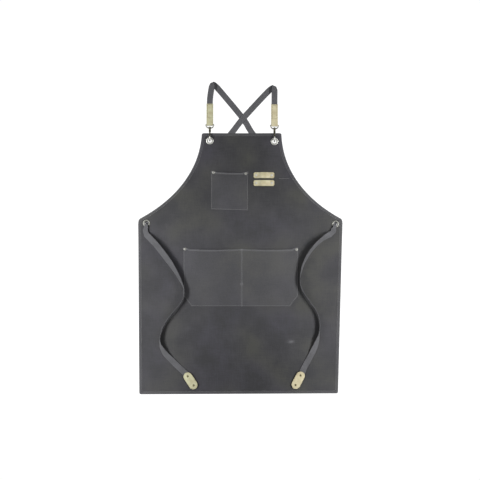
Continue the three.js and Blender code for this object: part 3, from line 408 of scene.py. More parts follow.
# Dark olive for the swivels, blocks, pins, collars and gates, which paints their dark reflection and shade.
dark_nickel = plated_material("dark_olive_shaded_nickel", "5c5a4c", "3c3b30", 0.35, 0.55)
brass = plated_material("dark_old_brass", "8c8468", "55503c", 0.3, 0.5)
thread = thread_material("grey_polyester_thread", "727273", "5c5c5d")
leather_thread = thread_material("buff_polyester_thread", "8d876b", "736c52")
print("made", len(bpy.data.materials), "materials")

# %% [markdown]
# ## The lie of the cloth
#
# The body lies on its turned hem and is lifted where a hook, a grommet or a crossing strap is under it.
# The rest of the cloth isn't quite flat: it keeps low, slow ripples from having been folded. A cloth
# simulation could settle it, but that would also shift seams whose places are known. One height function
# is steadier, and it serves every piece, so pockets, stitches, rivets and ties rest on the same surface.

# %% Heights of the cloth
def smoothstep(value, low, high):
    t = np.clip((value - low) / (high - low), 0, 1)
    return t * t * (3 - 2 * t)


def fade(distance, core, reach):
    return 1 - smoothstep(distance, core, core + reach)


def segment_distance(x, y, a, b):
    """Distance from points to the straight line between a and b."""
    dx, dy = b[0] - a[0], b[1] - a[1]
    along = np.clip(((x - a[0]) * dx + (y - a[1]) * dy) / max(dx * dx + dy * dy, 1e-12), 0, 1)
    return np.hypot(x - a[0] - along * dx, y - a[1] - along * dy)


def line_distance(x, y, line):
    """Distance from points to a run of straight lines."""
    nearest = np.full(np.shape(x), 1e9)
    for a, b in zip(line, line[1:]):
        nearest = np.minimum(nearest, segment_distance(x, y, a, b))
    return nearest


# Each lift holds at its full height over the first distance and dies out over the second.
BIB_HOLD, WAIST_HOLD, CROSS_HOLD = (24, 56), (25, 56), (40, 40)


def lift(x, y):
    """How far hooks, grommets and straps hold the cloth up."""
    height = np.zeros(np.shape(x))
    for side in SIDES:
        bib, waist, under = BIB_GROMMETS[side], WAIST_GROMMETS[side], ROUTES[side]["floor"][2]
        to_bib = segment_distance(x, y, bib, (bib[0], BIB_Y))
        height = np.maximum(height, BIB_LIFT * fade(to_bib, *BIB_HOLD))
        to_waist = np.hypot(x - waist[0], y - waist[1])
        height = np.maximum(height, WAIST_LIFT * fade(to_waist, *WAIST_HOLD))
        to_under = np.hypot(x - under[0], y - under[1])
        height = np.maximum(height, CROSS_LIFT * fade(to_under, *CROSS_HOLD))
    return height


# %% Ripples
RIPPLE_HEIGHT = 2.0
# Boxes that stay flat, under the pockets, the tool loops and the tie ends: x0, x1, y0, y1
FLAT_BOXES = [
    *((pocket["x0"], pocket["x1"], pocket["y0"], pocket["y1"]) for pocket in (CHEST, LOWER)),
    (LOOP["x"] - 35, LOOP["x"] + 35, LOOP_Y["lower"] - 10, LOOP_Y["upper"] + 10),
    (-190, -145, -505, -450),
    (170, 220, -505, -450),
]
ARMHOLE_LINE = [(132, 352), (140, 250), (190, 168), (255, 108), (336, 66)]


def ripple(x, y):
    """Slow ripples that die out towards the hem and in the flat boxes; divisors are in millimetres."""
    slow = np.sin(x / 61 + 0.9 * np.sin(y / 83)) * np.sin(y / 74 + 0.7 * np.sin(x / 97) + 0.6)
    quick = np.sin(x / 23 + y / 41 + 1.3) * np.sin(y / 29 - x / 57)
    height = RIPPLE_HEIGHT * (0.5 + 0.38 * slow + 0.12 * quick)
    for x0, x1, y0, y1 in FLAT_BOXES:
        beyond_x = np.maximum(np.maximum(x0 - x, x - x1), 0)
        beyond_y = np.maximum(np.maximum(y0 - y, y - y1), 0)
        height = height * smoothstep(np.hypot(beyond_x, beyond_y), 4, 45)
    side = WAIST_HALF - np.abs(x)
    end = np.minimum(y - HEM_Y, BIB_Y - y)
    armhole = line_distance(np.abs(x), y, ARMHOLE_LINE)
    return height * smoothstep(np.minimum(np.minimum(side, end), armhole), 14, 70)


def panel_top(x, y):
    return SHEET_Z + CANVAS + lift(x, y) + ripple(x, y)


print("cloth is lifted", round(float(lift(*BIB_GROMMETS["left"])), 1), "mm at a bib grommet")

# %% Pockets, and what the ties lie on
def pocket_rise(pocket, x, y):
    """How far a pocket gapes: most at its mouth, midway between two upright seams."""
    walls = np.array([pocket["x0"], *pocket["dividers"], pocket["x1"]])
    part = np.clip(np.searchsorted(walls, x, side="right") - 1, 0, len(walls) - 2)
    left, right = walls[part], walls[part + 1]
    across = (2 * x - left - right) / (right - left)
    up = (y - pocket["y0"]) / (pocket["y1"] - pocket["y0"])
    return pocket["gape"] * np.clip(1 - across * across, 0, 1) ** 1.5 * smoothstep(up, 0.02, 1)


def pocket_top(pocket, x, y):
    return POCKET_SEAT + pocket_rise(pocket, x, y) + CANVAS


def surface_top(x, y):
    """Top of whatever a tie lies on: the lower pocket or the body."""
    clip = CLIP[0] * np.clip(1 - (y - LOWER["y0"]) / CLIP[1], 0, 1)
    across = (x > LOWER["x0"] + clip - 1) & (x < LOWER["x1"] - clip + 1)
    up = (y > LOWER["y0"] - 1) & (y < LOWER["y1"] + 1)
    return np.where(across & up, pocket_top(LOWER, x, y), panel_top(x, y))


lower_gape = float(pocket_rise(LOWER, LOWER["x1"] / 2, LOWER["y1"]))
print("lower pocket gapes", round(lower_gape, 1), "mm in the middle of its right part")

# %% [markdown]
# ## Sheets of cloth and leather
#
# A flat piece is drawn as its outline, seen from above. Rings run along the edge, close together, so that
# a turned hem and a rolled edge have real shape; inside them a loose net of triangles is enough. The
# same plan makes the top and the underside, and walls join them, which keeps every sheet closed. A plane
# with Solidify would be quicker, but its edge would be one plain step. Seams press a small groove into
# the top, and an attribute marks where the cloth is paler: worn, paler in a broad band, and along the
# pocket mouths partly a painted highlight.

# %% Plan of a sheet
def closed(loop):
    return np.vstack([loop, loop[:1]])


def inside(points, loop):
    """Which points lie inside a closed outline."""
    x, y = points[:, 0], points[:, 1]
    odd = np.zeros(len(points), bool)
    for (ax, ay), (bx, by) in zip(loop, np.roll(loop, -1, axis=0)):
        if ay != by:
            crosses = (ay > y) != (by > y)
            odd ^= crosses & (x < (bx - ax) * (y - ay) / (by - ay) + ax)
    return odd


def resample(line, step):
    """The same line with points at most step apart."""
    line = np.asarray(line, float)
    rows = [line[:1]]
    for a, b in zip(line, line[1:]):
        count = max(1, math.ceil(np.hypot(*(b - a)) / step))
        rows.append(a + (b - a) * np.linspace(0, 1, count + 1)[1:, None])
    return np.vstack(rows)


def beside(line, offset):
    """A line moved sideways, for a row of points next to a seam."""
    line = resample(line, 3.0)
    heading = np.gradient(line, axis=0)
    heading /= np.linalg.norm(heading, axis=1)[:, None]
    return line + offset * np.column_stack([-heading[:, 1], heading[:, 0]])


def circle(middle, radius, count):
    turn = np.linspace(0, 2 * math.pi, count, endpoint=False)
    return np.column_stack([middle[0] + radius * np.cos(turn), middle[1] + radius * np.sin(turn)])


# %% Net of triangles inside a loop
NET_TURN = 0.17
NET_CLEAR = 0.6
SEAM_ROWS = (-4, -1.5, 0, 1.5, 4)
EDGE_CLEAR = 1.2


def fill(inner, step, seams, holes):
    """Points and triangles inside a loop; the loop comes first and the holes after it."""
    middle, reach = (inner.min(0) + inner.max(0)) / 2, np.linalg.norm(inner.max(0) - inner.min(0)) / 2
    columns, rows = np.meshgrid(np.arange(-reach, reach, step), np.arange(-reach, reach, step))
    columns[1::2] += step / 2
    # The net is turned a little, so that none of its lines runs along an edge or a seam.
    c, s = math.cos(NET_TURN), math.sin(NET_TURN)
    field = middle + np.column_stack([columns.ravel(), rows.ravel()]) @ np.array([[c, s], [-s, c]])
    lines = [beside(seam, offset) for seam in seams for offset in SEAM_ROWS]
    lines = np.vstack(lines) if lines else np.empty((0, 2))
    lines = lines[inside(lines, inner) & (line_distance(*lines.T, closed(inner)) > EDGE_CLEAR)]
    spare = line_distance(*field.T, closed(inner))
    for seam in seams:
        spare = np.minimum(spare, line_distance(*field.T, seam) - SEAM_ROWS[-1])
    for hole in holes:
        spare = np.minimum(spare, line_distance(*field.T, closed(hole)))
    field = field[inside(field, inner) & (spare > NET_CLEAR * step)]
    plan = np.vstack([inner, *holes, lines, field])
    edges, start = [], 0
    for loop in (inner, *holes):
        edges += [(start + i, start + (i + 1) % len(loop)) for i in range(len(loop))]
        start += len(loop)
    inside_only = 1
    found = delaunay_2d_cdt([Vector(p) for p in plan], edges, [], inside_only, 1e-5)
    origin = [rows[0] for rows in found[3]]
    triangles = np.array([[origin[i] for i in face] for face in found[2]])
    for hole in holes:
        triangles = triangles[~inside(plan[triangles].mean(axis=1), hole)]
    a, b, c = (plan[triangles[:, i]] for i in range(3))
    turned = (b[:, 0] - a[:, 0]) * (c[:, 1] - a[:, 1]) < (b[:, 1] - a[:, 1]) * (c[:, 0] - a[:, 0])
    triangles[turned] = triangles[turned][:, ::-1]
    return plan, triangles


# %% Objects, meshes and attributes
def link_object(name, data):
    """A new object at the origin."""
    piece = bpy.data.objects.new(name, data)
    bpy.context.scene.collection.objects.link(piece)
    return piece


def link_mesh(name, points, faces, material, smooth_angle=None):
    """An object whose mesh has its place in it, in metres."""
    mesh = bpy.data.meshes.new(name)
    mesh.from_pydata((np.asarray(points) * MM).tolist(), [], faces)
    mesh.materials.append(material)
    mesh.shade_smooth()
    if smooth_angle:
        mesh.set_sharp_from_angle(angle=math.radians(smooth_angle))
    return link_object(name, mesh)


def store(piece, name, values):
    """A number for each point of a piece, for its material to read."""
    attribute = piece.data.attributes.new(name, "FLOAT", "POINT")
    attribute.data.foreach_set("value", np.asarray(values, np.float32))


# %% Closed mesh of a sheet
GROOVE_DEPTH, GROOVE_WIDTH = 0.45, 1.3


def groove(x, y, seams):
    """How deep the stitches press the cloth in."""
    depth = np.zeros(np.shape(x))
    for seam in seams:
        away = line_distance(x, y, seam) / GROOVE_WIDTH
        depth = np.maximum(depth, GROOVE_DEPTH * np.exp(-(away**2)))
    return depth


def make_sheet(name, material, outline, edge, step, top, under, seams=(), holes=(), shift=None, marks_and_highlight=None):
    """A closed sheet. Rows of edge are inset, drop of the top and rise of the underside."""
    rings = [outline(inset) for inset, _, _ in edge]
    count = len(rings[0])
    plan, triangles = fill(rings[-1], step, seams, holes)
    plan = np.vstack([*rings[:-1], plan])
    x, y = plan.T
    drop, rise = np.zeros(len(plan)), np.zeros(len(plan))
    for k, (_, row_drop, row_rise) in enumerate(edge):
        drop[k * count : (k + 1) * count] = row_drop
        rise[k * count : (k + 1) * count] = row_rise
    press = groove(x, y, seams)
    high, low = top(x, y) - drop - press, under(x, y) + rise
    moved = y if shift is None else y + shift(x, y)
    points = np.vstack([np.column_stack([x, moved, high]), np.column_stack([x, moved, low])])
    last = (len(rings) - 1) * count
    upper = [tuple(face) for face in (triangles + last).tolist()]
    for k in range(len(rings) - 1):
        for i in range(count):
            j = (i + 1) % count
            upper.append((k * count + i, k * count + j, (k + 1) * count + j, (k + 1) * count + i))
    total = len(plan)
    faces = upper + [tuple(total + i for i in reversed(face)) for face in upper]
    faces += [(total + i, total + (i + 1) % count, (i + 1) % count, i) for i in range(count)]
    start = last + count
    for hole in holes:
        size = len(hole)
        for i in range(size):
            a, b = start + i, start + (i + 1) % size
            faces.append((total + b, total + a, a, b))
        start += size
    piece = link_mesh(name, points, faces, material)
    # Levels of the marks: wear and burnish, and on the pockets partly a painted highlight along the mouth.
    mark_levels = np.zeros(total) if marks_and_highlight is None else marks_and_highlight(x, y)
    store(piece, "marks_and_highlight", np.concatenate([mark_levels, mark_levels]))
    print(name, len(points), "points,", len(faces), "faces")
    return piece


def seat(piece, slot, *nodes, body="apron"):
    """Puts a finished piece in the place of its solids."""
    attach(piece, body)
    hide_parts(*nodes)
    return piece


# %% [markdown]
# ## The body
#
# The outline is half a curve and its mirror image: hem, rounded corner, side, waist corner, armhole and
# bib. A curve object could be filled instead, but it gives no rings at exact distances from its edge. The
# edge is turned under twice and sewn down 9 mm in, so the rings make a hem 3.6 mm thick with a round lip,
# a groove under the stitches, and on the back the step where the turned cloth ends.

# %% Outline of the body
def bezier(controls, count):
    """Points on a Bezier curve of any order, without its last one."""
    t = np.linspace(0, 1, count, endpoint=False)[:, None]
    rows = [np.asarray(p, float) for p in controls]
    while len(rows) > 1:
        rows = [a * (1 - t) + b * t for a, b in zip(rows, rows[1:])]
    return rows[0]


def body_outline(inset):
    """The whole outline, moved inwards; each stretch has a number of points and its control points."""
    end_lean, top_lean = (math.radians(ARMHOLE_PULL[k]) for k in ("end_lean", "top_lean"))
    end = ARMHOLE_END - inset * np.array([math.cos(end_lean), math.sin(end_lean)])
    end_handle = end + ARMHOLE_PULL["end"] * np.array([-math.sin(end_lean), math.cos(end_lean)])
    hang = np.array([math.sin(top_lean), -math.cos(top_lean)])
    top_x = BIB_HALF + 0.3 - inset
    top_handle = np.array([top_x, BIB_Y - CORNER]) + hang * (ARMHOLE_PULL["top"] - CORNER)
    hem, waist, bib = HEM_HALF - inset, WAIST_HALF - inset, BIB_HALF - inset
    low, high = HEM_Y + inset, BIB_Y - inset
    side_top = WAIST_Y - CORNER - inset
    stretches = [
        (130, [(0, low), (hem - CORNER, low)]),
        (8, [(hem - CORNER, low), (hem, low), (hem, low + CORNER)]),
        (228, [(hem, low + CORNER), (waist, side_top)]),
        (10, [(waist, side_top), (waist, side_top + 2 * CORNER), end]),
        (144, [end, end_handle, top_handle, (top_x, high - CORNER)]),
        (8, [(top_x, high - CORNER), (bib, high), (bib - CORNER, high)]),
        (50, [(bib - CORNER, high), (0, high)]),
    ]
    right = np.vstack([bezier(controls, count) for count, controls in stretches] + [[(0, high)]])
    left = right[1:-1][::-1] * (-1, 1)
    x, y = np.vstack([right, left]).T
    below = np.clip((WAIST_Y - y) / (WAIST_Y - HEM_Y), 0, 1)
    rise = y - WAIST_Y + CORNER
    lean = rise * np.where(rise > 0, LEAN["bib"], LEAN["skirt"])
    return np.column_stack([x + lean, y + HEM_RISE * below * x / HEM_HALF])


HEM_SEAM = 8.9
# inset, drop of the top, rise of the underside
HEM_EDGE = [
    (0.0, 1.5, -0.9),
    (0.35, 0.6, -1.8),
    (1.1, 0.12, -2.28),
    (2.4, -0.05, -2.4),
    (5.5, -0.15, -2.4),
    (7.8, 0.0, -2.4),
    (HEM_SEAM, 0.0, -2.4),
    (10.0, 0.0, -2.4),
    (11.0, 0.0, -2.3),
    (11.4, 0.0, -1.2),
    (11.8, 0.0, 0.0),
    (12.6, 0.0, 0.0),
]
print("outline of the body:", len(body_outline(0)), "points,", len(HEM_EDGE), "rings along its edge")

# %% Body cloth
hem_line = closed(body_outline(HEM_SEAM))
# Every third point is close enough to measure distances from.
hem_guide = hem_line[::3]
edge_guide = closed(body_outline(0))[::3]
SCUFF = (170.0, -348.0)
PALE_BAND = {"y": -40, "up": 180, "down": 330}
# How far each mark takes the colour towards the pale cloth, from 0 to 1
PALING = {"middle_band": 0.17, "sides": 0.13, "hem": 0.22, "scuff": 0.7}


def paler_band_and_sides(x, y):
    """Paler in a broad band across the middle and down both lower sides."""
    reach = np.where(y > PALE_BAND["y"], PALE_BAND["up"], PALE_BAND["down"])
    middle = PALING["middle_band"] * np.exp(-(((y - PALE_BAND["y"]) / reach) ** 2))
    side = smoothstep(np.abs(x), 100, 290) * smoothstep(60 - y, 0, 120)
    return middle + side * (PALING["sides"] - middle)


def panel_paling(x, y):
    """Paler also all over the hem, which rubs on everything, and at one small scuff low on the right."""
    hem = PALING["hem"] * fade(line_distance(x, y, edge_guide), HEM_SEAM - 2.5, 3.5)
    scuff = PALING["scuff"] * np.exp(-(((x - SCUFF[0]) / 9) ** 2) - ((y - SCUFF[1]) / 4) ** 2)
    return paler_band_and_sides(x, y) + np.maximum(hem, scuff)


GROMMET_HOLE = 7.6
grommet_middles = [*BIB_GROMMETS.values(), *WAIST_GROMMETS.values()]
body_cloth = make_sheet(
    "body_canvas",
    canvas,
    body_outline,
    HEM_EDGE,
    step=6.0,
    top=panel_top,
    under=lambda x, y: panel_top(x, y) - CANVAS,
    seams=[hem_guide],
    holes=[circle(middle, GROMMET_HOLE, 24) for middle in grommet_middles],
    marks_and_highlight=panel_paling,
)
seat(body_cloth, "canvas", "canvas_panel")

# %% [markdown]
# ## The pockets
#
# Both pockets are patches with their edges turned in, sewn down at the sides and the bottom and open at
# the top, where the cloth gapes a little and sinks between its two rivets. The lower one has clipped
# bottom corners and a line of stitches down the middle that parts it in two. They differ only in their
# tables, so one set of functions makes both.

# %% Patch outlines
def patch_outline(corners, step):
    """Outline of a patch with straight sides, as a function of the inset."""
    corners = np.asarray(corners, float)
    sides = np.roll(corners, -1, axis=0) - corners
    lengths = np.linalg.norm(sides, axis=1)
    headings = sides / lengths[:, None]
    normals = np.column_stack([-headings[:, 1], headings[:, 0]])
    counts = np.maximum(1, np.ceil(lengths / step)).astype(int)

    def outline(inset):
        before = np.roll(normals, 1, axis=0)
        miter = (before + normals) / (1 + (before * normals).sum(axis=1))[:, None]
        moved = corners + inset * miter
        after = np.roll(moved, -1, axis=0)
        return np.vstack([bezier([a, b], n) for a, b, n in zip(moved, after, counts)])

    return outline


# inset, drop of the top, rise of the underside
PATCH_EDGE = [
    (0.0, 0.75, 0.15),
    (0.3, 0.3, 0.0),
    (0.9, 0.0, 0.0),
    (2.0, -0.3, 0.0),
    (3.0, -0.15, 0.0),
    (4.0, -0.05, 0.0),
    (5.0, 0.0, 0.0),
    (6.2, 0.0, 0.0),
    (8.0, 0.0, 0.0),
]
PATCH_STEP = 2.5
# A step longer than any side leaves an outline with its corners alone.
CORNERS_ONLY = 1000.0
SIDE_SEAM, MOUTH_SEAM, SEAM_END = 3.0, 5.0, 1.0


def pocket_seams(pocket, corners, mouth_left):
    """The seam round the sides and the bottom, from the mouth's left corner on, and the mouth's own."""
    around = np.roll(patch_outline(corners, CORNERS_ONLY)(SIDE_SEAM), -mouth_left, axis=0)
    around[[0, -1], 1] = pocket["y1"] - SEAM_END
    mouth_y = pocket["y1"] - MOUTH_SEAM
    return [around, np.array([(pocket["x0"] + SEAM_END, mouth_y), (pocket["x1"] - SEAM_END, mouth_y)])]


# %% Cloth of a pocket
POCKET_WEAR_AND_HIGHLIGHT = {"all": 0.13, "edge": 0.14, "mouth": 0.32, "divider": 0.2, "tack": 0.3}


def pocket_under(pocket, x, y):
    """The underside, with more cloth behind the mouth, where the edge is turned in."""
    turned_in = np.minimum(CANVAS, pocket_rise(pocket, x, y) / 2)
    return pocket_top(pocket, x, y) - CANVAS - np.where(y > pocket["y1"] - MOUTH_HEM, turned_in, 0)


def pocket_shift(pocket, x, y):
    """How far a pocket's cloth lies from a plain rectangle: its slope, and its dipping, gaping mouth."""
    slope = pocket["slope"] * (x - (pocket["x0"] + pocket["x1"]) / 2)
    from_side = np.minimum(x - pocket["x0"], pocket["x1"] - x)
    up = (y - pocket["y0"]) / (pocket["y1"] - pocket["y0"])
    dip = pocket["dip"] * up**2 * smoothstep(from_side, 4, 24)
    return slope - MOUTH_SAG * pocket_rise(pocket, x, y) - dip


def pocket_wear_and_highlight(pocket, outline, x, y):
    """A pocket is paler all over and rubbed paler along its edges. It is palest at its mouth, partly worn and
    partly a painted highlight on the edge.
    """
    edge = POCKET_WEAR_AND_HIGHLIGHT["edge"] * fade(line_distance(x, y, closed(outline(0))), 1.5, 3)
    # The pale band along the mouth is partly wear and partly a painted highlight on its edge.
    mouth = POCKET_WEAR_AND_HIGHLIGHT["mouth"] * fade(pocket["y1"] - y, MOUTH_SEAM - 0.5, 3)
    return POCKET_WEAR_AND_HIGHLIGHT["all"] + paler_band_and_sides(x, y) + np.maximum(edge, mouth)


def make_pocket(name, node, pocket, outline, seams, step, marks_and_highlight):
    cloth = make_sheet(
        name,
        canvas,
        outline,
        PATCH_EDGE,
        step,
        top=partial(pocket_top, pocket),
        under=partial(pocket_under, pocket),
        seams=seams,
        shift=partial(pocket_shift, pocket),
        marks_and_highlight=marks_and_highlight,
    )
    return seat(cloth, "canvas", node)


# %% Chest pocket
chest_corners = [(CHEST[x], CHEST[y]) for x, y in (("x0", "y0"), ("x1", "y0"), ("x1", "y1"), ("x0", "y1"))]
chest_outline = patch_outline(chest_corners, PATCH_STEP)
chest_seams = pocket_seams(CHEST, chest_corners, mouth_left=3)
chest_wear_and_highlight = partial(pocket_wear_and_highlight, CHEST, chest_outline)
chest_cloth = make_pocket(
    "chest_pocket_canvas", "chest_pocket", CHEST, chest_outline, chest_seams, 4.5, chest_wear_and_highlight
)

# %% Lower pocket
lower_corners = [
    (LOWER["x0"] + CLIP[0], LOWER["y0"]),
    (LOWER["x1"] - CLIP[0], LOWER["y0"]),
    (LOWER["x1"], LOWER["y0"] + CLIP[1]),
    (LOWER["x1"], LOWER["y1"]),
    (LOWER["x0"], LOWER["y1"]),
    (LOWER["x0"], LOWER["y0"] + CLIP[1]),
]
lower_outline = patch_outline(lower_corners, PATCH_STEP)
divider_seam = np.array([(DIVIDER_X, LOWER["y1"] - SEAM_END), (DIVIDER_X, LOWER["y0"] + SEAM_END)])
lower_seams = [*pocket_seams(LOWER, lower_corners, mouth_left=4), divider_seam]
TACK_Y = -153.7


def lower_wear_and_highlight(x, y):
    """The ridge of the dividing seam is rubbed too, and most where a tack makes it stand up."""
    ridge = POCKET_WEAR_AND_HIGHLIGHT["divider"] * fade(np.abs(x - DIVIDER_X), 1.5, 2.5)
    for tack_y in (TACK_Y, LOWER["y1"] - 2):
        spot = np.exp(-(((x - DIVIDER_X) / 3.5) ** 2) - ((y - tack_y) / 6) ** 2)
        ridge = ridge + POCKET_WEAR_AND_HIGHLIGHT["tack"] * spot
    return pocket_wear_and_highlight(LOWER, lower_outline, x, y) + ridge


lower_cloth = make_pocket(
    "lower_pocket_canvas", "lower_pocket", LOWER, lower_outline, lower_seams, 5.0, lower_wear_and_highlight
)

# %% [markdown]
# ## Straps and ties
#
# Flat webbing bends easily about its width and hardly at all in its own plane, so a strap can only turn a
# corner by folding over or by standing up on its edge, and that is what the ties do. A curve with a bevel
# would be simple, but it can't say how wide the strap is or which way it leans at each point. So a strap
# is a run of cross-sections: left edge, right edge, upper side and thickness. A rounded profile is lofted
# through them, and the UV map measures the real distance along the strap.

# %% Directions and the profile of a tape
UP = np.array([0.0, 0.0, 1.0])


def unit(vector):
    return vector / np.linalg.norm(vector)


def flat(p, z=0.0):
    return np.array([p[0], p[1], z], float)


def tape_profile(corner):
    """Half across and half thick of a tape with rounded selvedges, going round once."""
    rounded = [(1 - 0.15 * corner, 0.55), (1 - 0.5 * corner, 0.92), (1 - 1.6 * corner, 1.0)]
    side = [(1.0, 0.0), *rounded, (0.4, 0.94)]
    upper = side + [(0.0, 0.92)] + [(-a, b) for a, b in reversed(side)]
    return np.array(upper + [(-a, -b) for a, b in upper[1:-1]])


# %% Loft through cross-sections
def loft(sections, profile, loop=False):
    """Points, faces and UVs of a tape through sections of left edge, right edge, upper side, thickness."""
    left, right, normal, thick = (np.array(column, float) for column in zip(*sections))
    middle, across = (left + right) / 2, (left - right) / 2
    a, b = profile.T
    lifted = (normal * thick[:, None] / 2)[:, None] * b[:, None]
    points = middle[:, None] + across[:, None] * a[:, None] + lifted
    rows, count = len(sections), len(profile)
    faces = []
    for i in range(rows if loop else rows - 1):
        for k in range(count):
            m = (k + 1) % count
            n = (i + 1) % rows
            faces.append((i * count + k, i * count + m, n * count + m, n * count + k))
    if not loop:
        faces.append(tuple(range(count))[::-1])
        faces.append(tuple((rows - 1) * count + k for k in range(count)))
    travel = np.concatenate([[0], np.cumsum(np.linalg.norm(np.diff(middle, axis=0), axis=1))])
    half = np.linalg.norm(across, axis=1)
    uv = np.stack([half[:, None] * a, np.broadcast_to(travel[:, None], (rows, count))], axis=-1)
    return points.reshape(-1, 3), faces, uv.reshape(-1, 2) * MM


# %% A loft as an object
def face_outward(piece):
    """Turns all faces of a closed mesh to the outside."""
    shape = bmesh.new()
    shape.from_mesh(piece.data)
    bmesh.ops.recalc_face_normals(shape, faces=shape.faces)
    shape.to_mesh(piece.data)
    shape.free()


def link_loft(name, sections, profile, material, loop=False):
    """A lofted piece with the distances along and across it as its UV map."""
    points, faces, uv = loft(sections, profile, loop)
    piece = link_mesh(name, points, faces, material)
    face_outward(piece)
    layer = piece.data.uv_layers.new(name="along")
    corners = np.zeros(len(piece.data.loops), int)
    piece.data.loops.foreach_get("vertex_index", corners)
    layer.data.foreach_set("uv", uv[corners].ravel())
    return piece


def section(centre, w, n, width, thick):
    """A cross-section from its centre, the way across, its upper side, its width and its thickness."""
    return (centre + w * width / 2, centre - w * width / 2, n, thick)


# %% Smooth lines through knots
def through(knots, count):
    """Points on a smooth line through the knots, count for each stretch."""
    knots = np.asarray(knots, float)
    ends = np.vstack([2 * knots[0] - knots[1], knots, 2 * knots[-1] - knots[-2]])
    t = np.linspace(0, 1, count, endpoint=False)[:, None]
    rows = []
    for a, b, c, d in zip(ends, ends[1:], ends[2:], ends[3:]):
        bend = (2 * a - 5 * b + 4 * c - d) * t**2 + (3 * b - a - 3 * c + d) * t**3
        rows.append(b + 0.5 * ((c - a) * t + bend))
    return np.vstack(rows + [knots[-1:]])


def level_headings(line):
    """Way of a line at each of its points, as seen from above."""
    heading = np.gradient(line, axis=0)
    heading[:, 2:] = 0
    return heading / np.linalg.norm(heading, axis=1)[:, None]


# %% From the leather up to the fold
def gathered(distance):
    """Width of a strap at a distance along it from the crown of its fold, where it draws together."""
    return STRAP_WIDTH * (1 - GATHER["share"] * math.exp(-((distance / GATHER["reach"]) ** 2)))


def fold_frame(route):
    """Ways before the fold, along its crease and out of it, and the slide along it by half way round."""
    heading = np.array([0.0, 1.0, 0.0])
    away = unit(flat(route["floor"][0]) - flat(route["fold"]))
    axis, out = unit(heading + away), unit(heading - away)
    return heading, axis, out, axis * math.pi / 2 * FOLD_RADIUS * heading.dot(axis) / heading.dot(out)


def leather_frame(side):
    """Where a strap's leather end starts, the way along it, and the way out of its upper face."""
    fall = math.radians(TAB["fall"])
    x, y = BIB_GROMMETS[side]
    along = np.array([0, math.cos(fall), -math.sin(fall)])
    return np.array([x, y + EYE["bar_y"], SWIVEL_Z]), along, np.array([0, math.sin(fall), math.cos(fall)])


# A strap starts this far along inside its leather, and comes out this far before the leather's end.
STRAP_START, LEATHER_MOUTH = 10, 1


def front_run(side):
    """From inside the leather up to the fold."""
    route = ROUTES[side]
    origin, along, n = leather_frame(side)
    w = np.array([-1.0, 0, 0])
    stops = np.linspace(STRAP_START, TAB["length"] - LEATHER_MOUTH, 12)
    sections = [section(origin + along * v, w, n, STRAP_WIDTH, STRAP_THICK) for v in stops]
    start = origin + along * (TAB["length"] - LEATHER_MOUTH)
    end = flat(route["fold"], STRAP_THICK / 2 + 2 * FOLD_RADIUS) - fold_frame(route)[3]
    climb = end[1] - start[1]
    handles = [(start[0], start[1] + 0.5 * climb, end[2]), (end[0], start[1] + 0.75 * climb, end[2])]
    line = bezier([start, *handles, end], 24)
    # The first and last two points are left out, because the leather and the fold lead on there.
    for centre, heading in list(zip(line, level_headings(line)))[2:-2]:
        width = gathered(np.linalg.norm(centre - end) + math.pi / 2 * FOLD_RADIUS)
        sections.append(section(centre, np.cross(UP, heading), UP, width, STRAP_THICK))
    return sections


# %% Over the fold
def fold_run(route):
    """Over a round fold whose crease halves the angle between the two runs."""
    heading, axis, out, lead = fold_frame(route)
    w = np.cross(UP, heading)
    sections = []
    for turn in np.linspace(0, math.pi, 17):
        edges = []
        half = gathered(abs(turn - math.pi / 2) * FOLD_RADIUS) / 2
        for q in (half, -half):
            p = (turn * FOLD_RADIUS - q * w.dot(out)) / heading.dot(out)
            slide = p * heading.dot(axis) + q * w.dot(axis)
            z = STRAP_THICK / 2 + FOLD_RADIUS * (1 + math.cos(turn))
            edges.append(flat(route["fold"], z) - lead + axis * slide + out * FOLD_RADIUS * math.sin(turn))
        sections.append((*edges, out * math.sin(turn) + UP * math.cos(turn), STRAP_THICK))
    return sections


# %% Behind the body
# The fold itself takes up the first share of this way.
FOLD_SHARE = 0.05
# Where one strap lies over the other, it stays up for the first distance and comes down over the second.
OVER_HOLD = (16, 26)


def floor_run(route, arrive):
    """Face down along the floor, over or under the other strap, to the back of the waist grommet."""
    start = flat(route["fold"]) + fold_frame(route)[3]
    line = through([start] + [flat(p) for p in (*route["floor"], arrive)], 14)
    headings = level_headings(line)
    first = round(len(line) * FOLD_SHARE)
    sections = []
    for centre, heading in zip(line[first:], headings[first:]):
        away = math.hypot(centre[0] - CROSSING[0], centre[1] - CROSSING[1])
        at = flat(centre, STRAP_THICK / 2 + route["over"] * float(fade(away, *OVER_HOLD)))
        width = gathered(np.linalg.norm(centre - line[0]) + math.pi / 2 * FOLD_RADIUS)
        sections.append(section(at, np.cross(-UP, heading), -UP, width, STRAP_THICK))
    return sections, headings[-1]


# %% Up through the bore
# Way on as it comes, way out as it goes, height, pitch in degrees, width and thickness
BORE_ROWS = [
    (-34, 0, 1.3, 0, 17, 2.2),
    (-18, 0, 1.6, 0, 15, 2.6),
    (-6, 0, 1.8, 3, 14, 2.9),
    (2.5, 0.4, 2.1, 16, 13, 3.0),
    (1.2, 1.6, 4.2, 62, 9, 3.3),
    (0.2, 2.4, 6.6, 88, 8.4, 3.6),
    (0, 2.5, 8.4, 92, 8.4, 3.6),
    (0, 4.2, 10.9, 135, 9.4, 3.6),
    (0, 9, 12.2, 172, 12, 3.1),
    (0, 16.5, 13.0, 173, 15, 2.6),
    (0, 26, 13.8, 173, 18.5, 2.0),
]


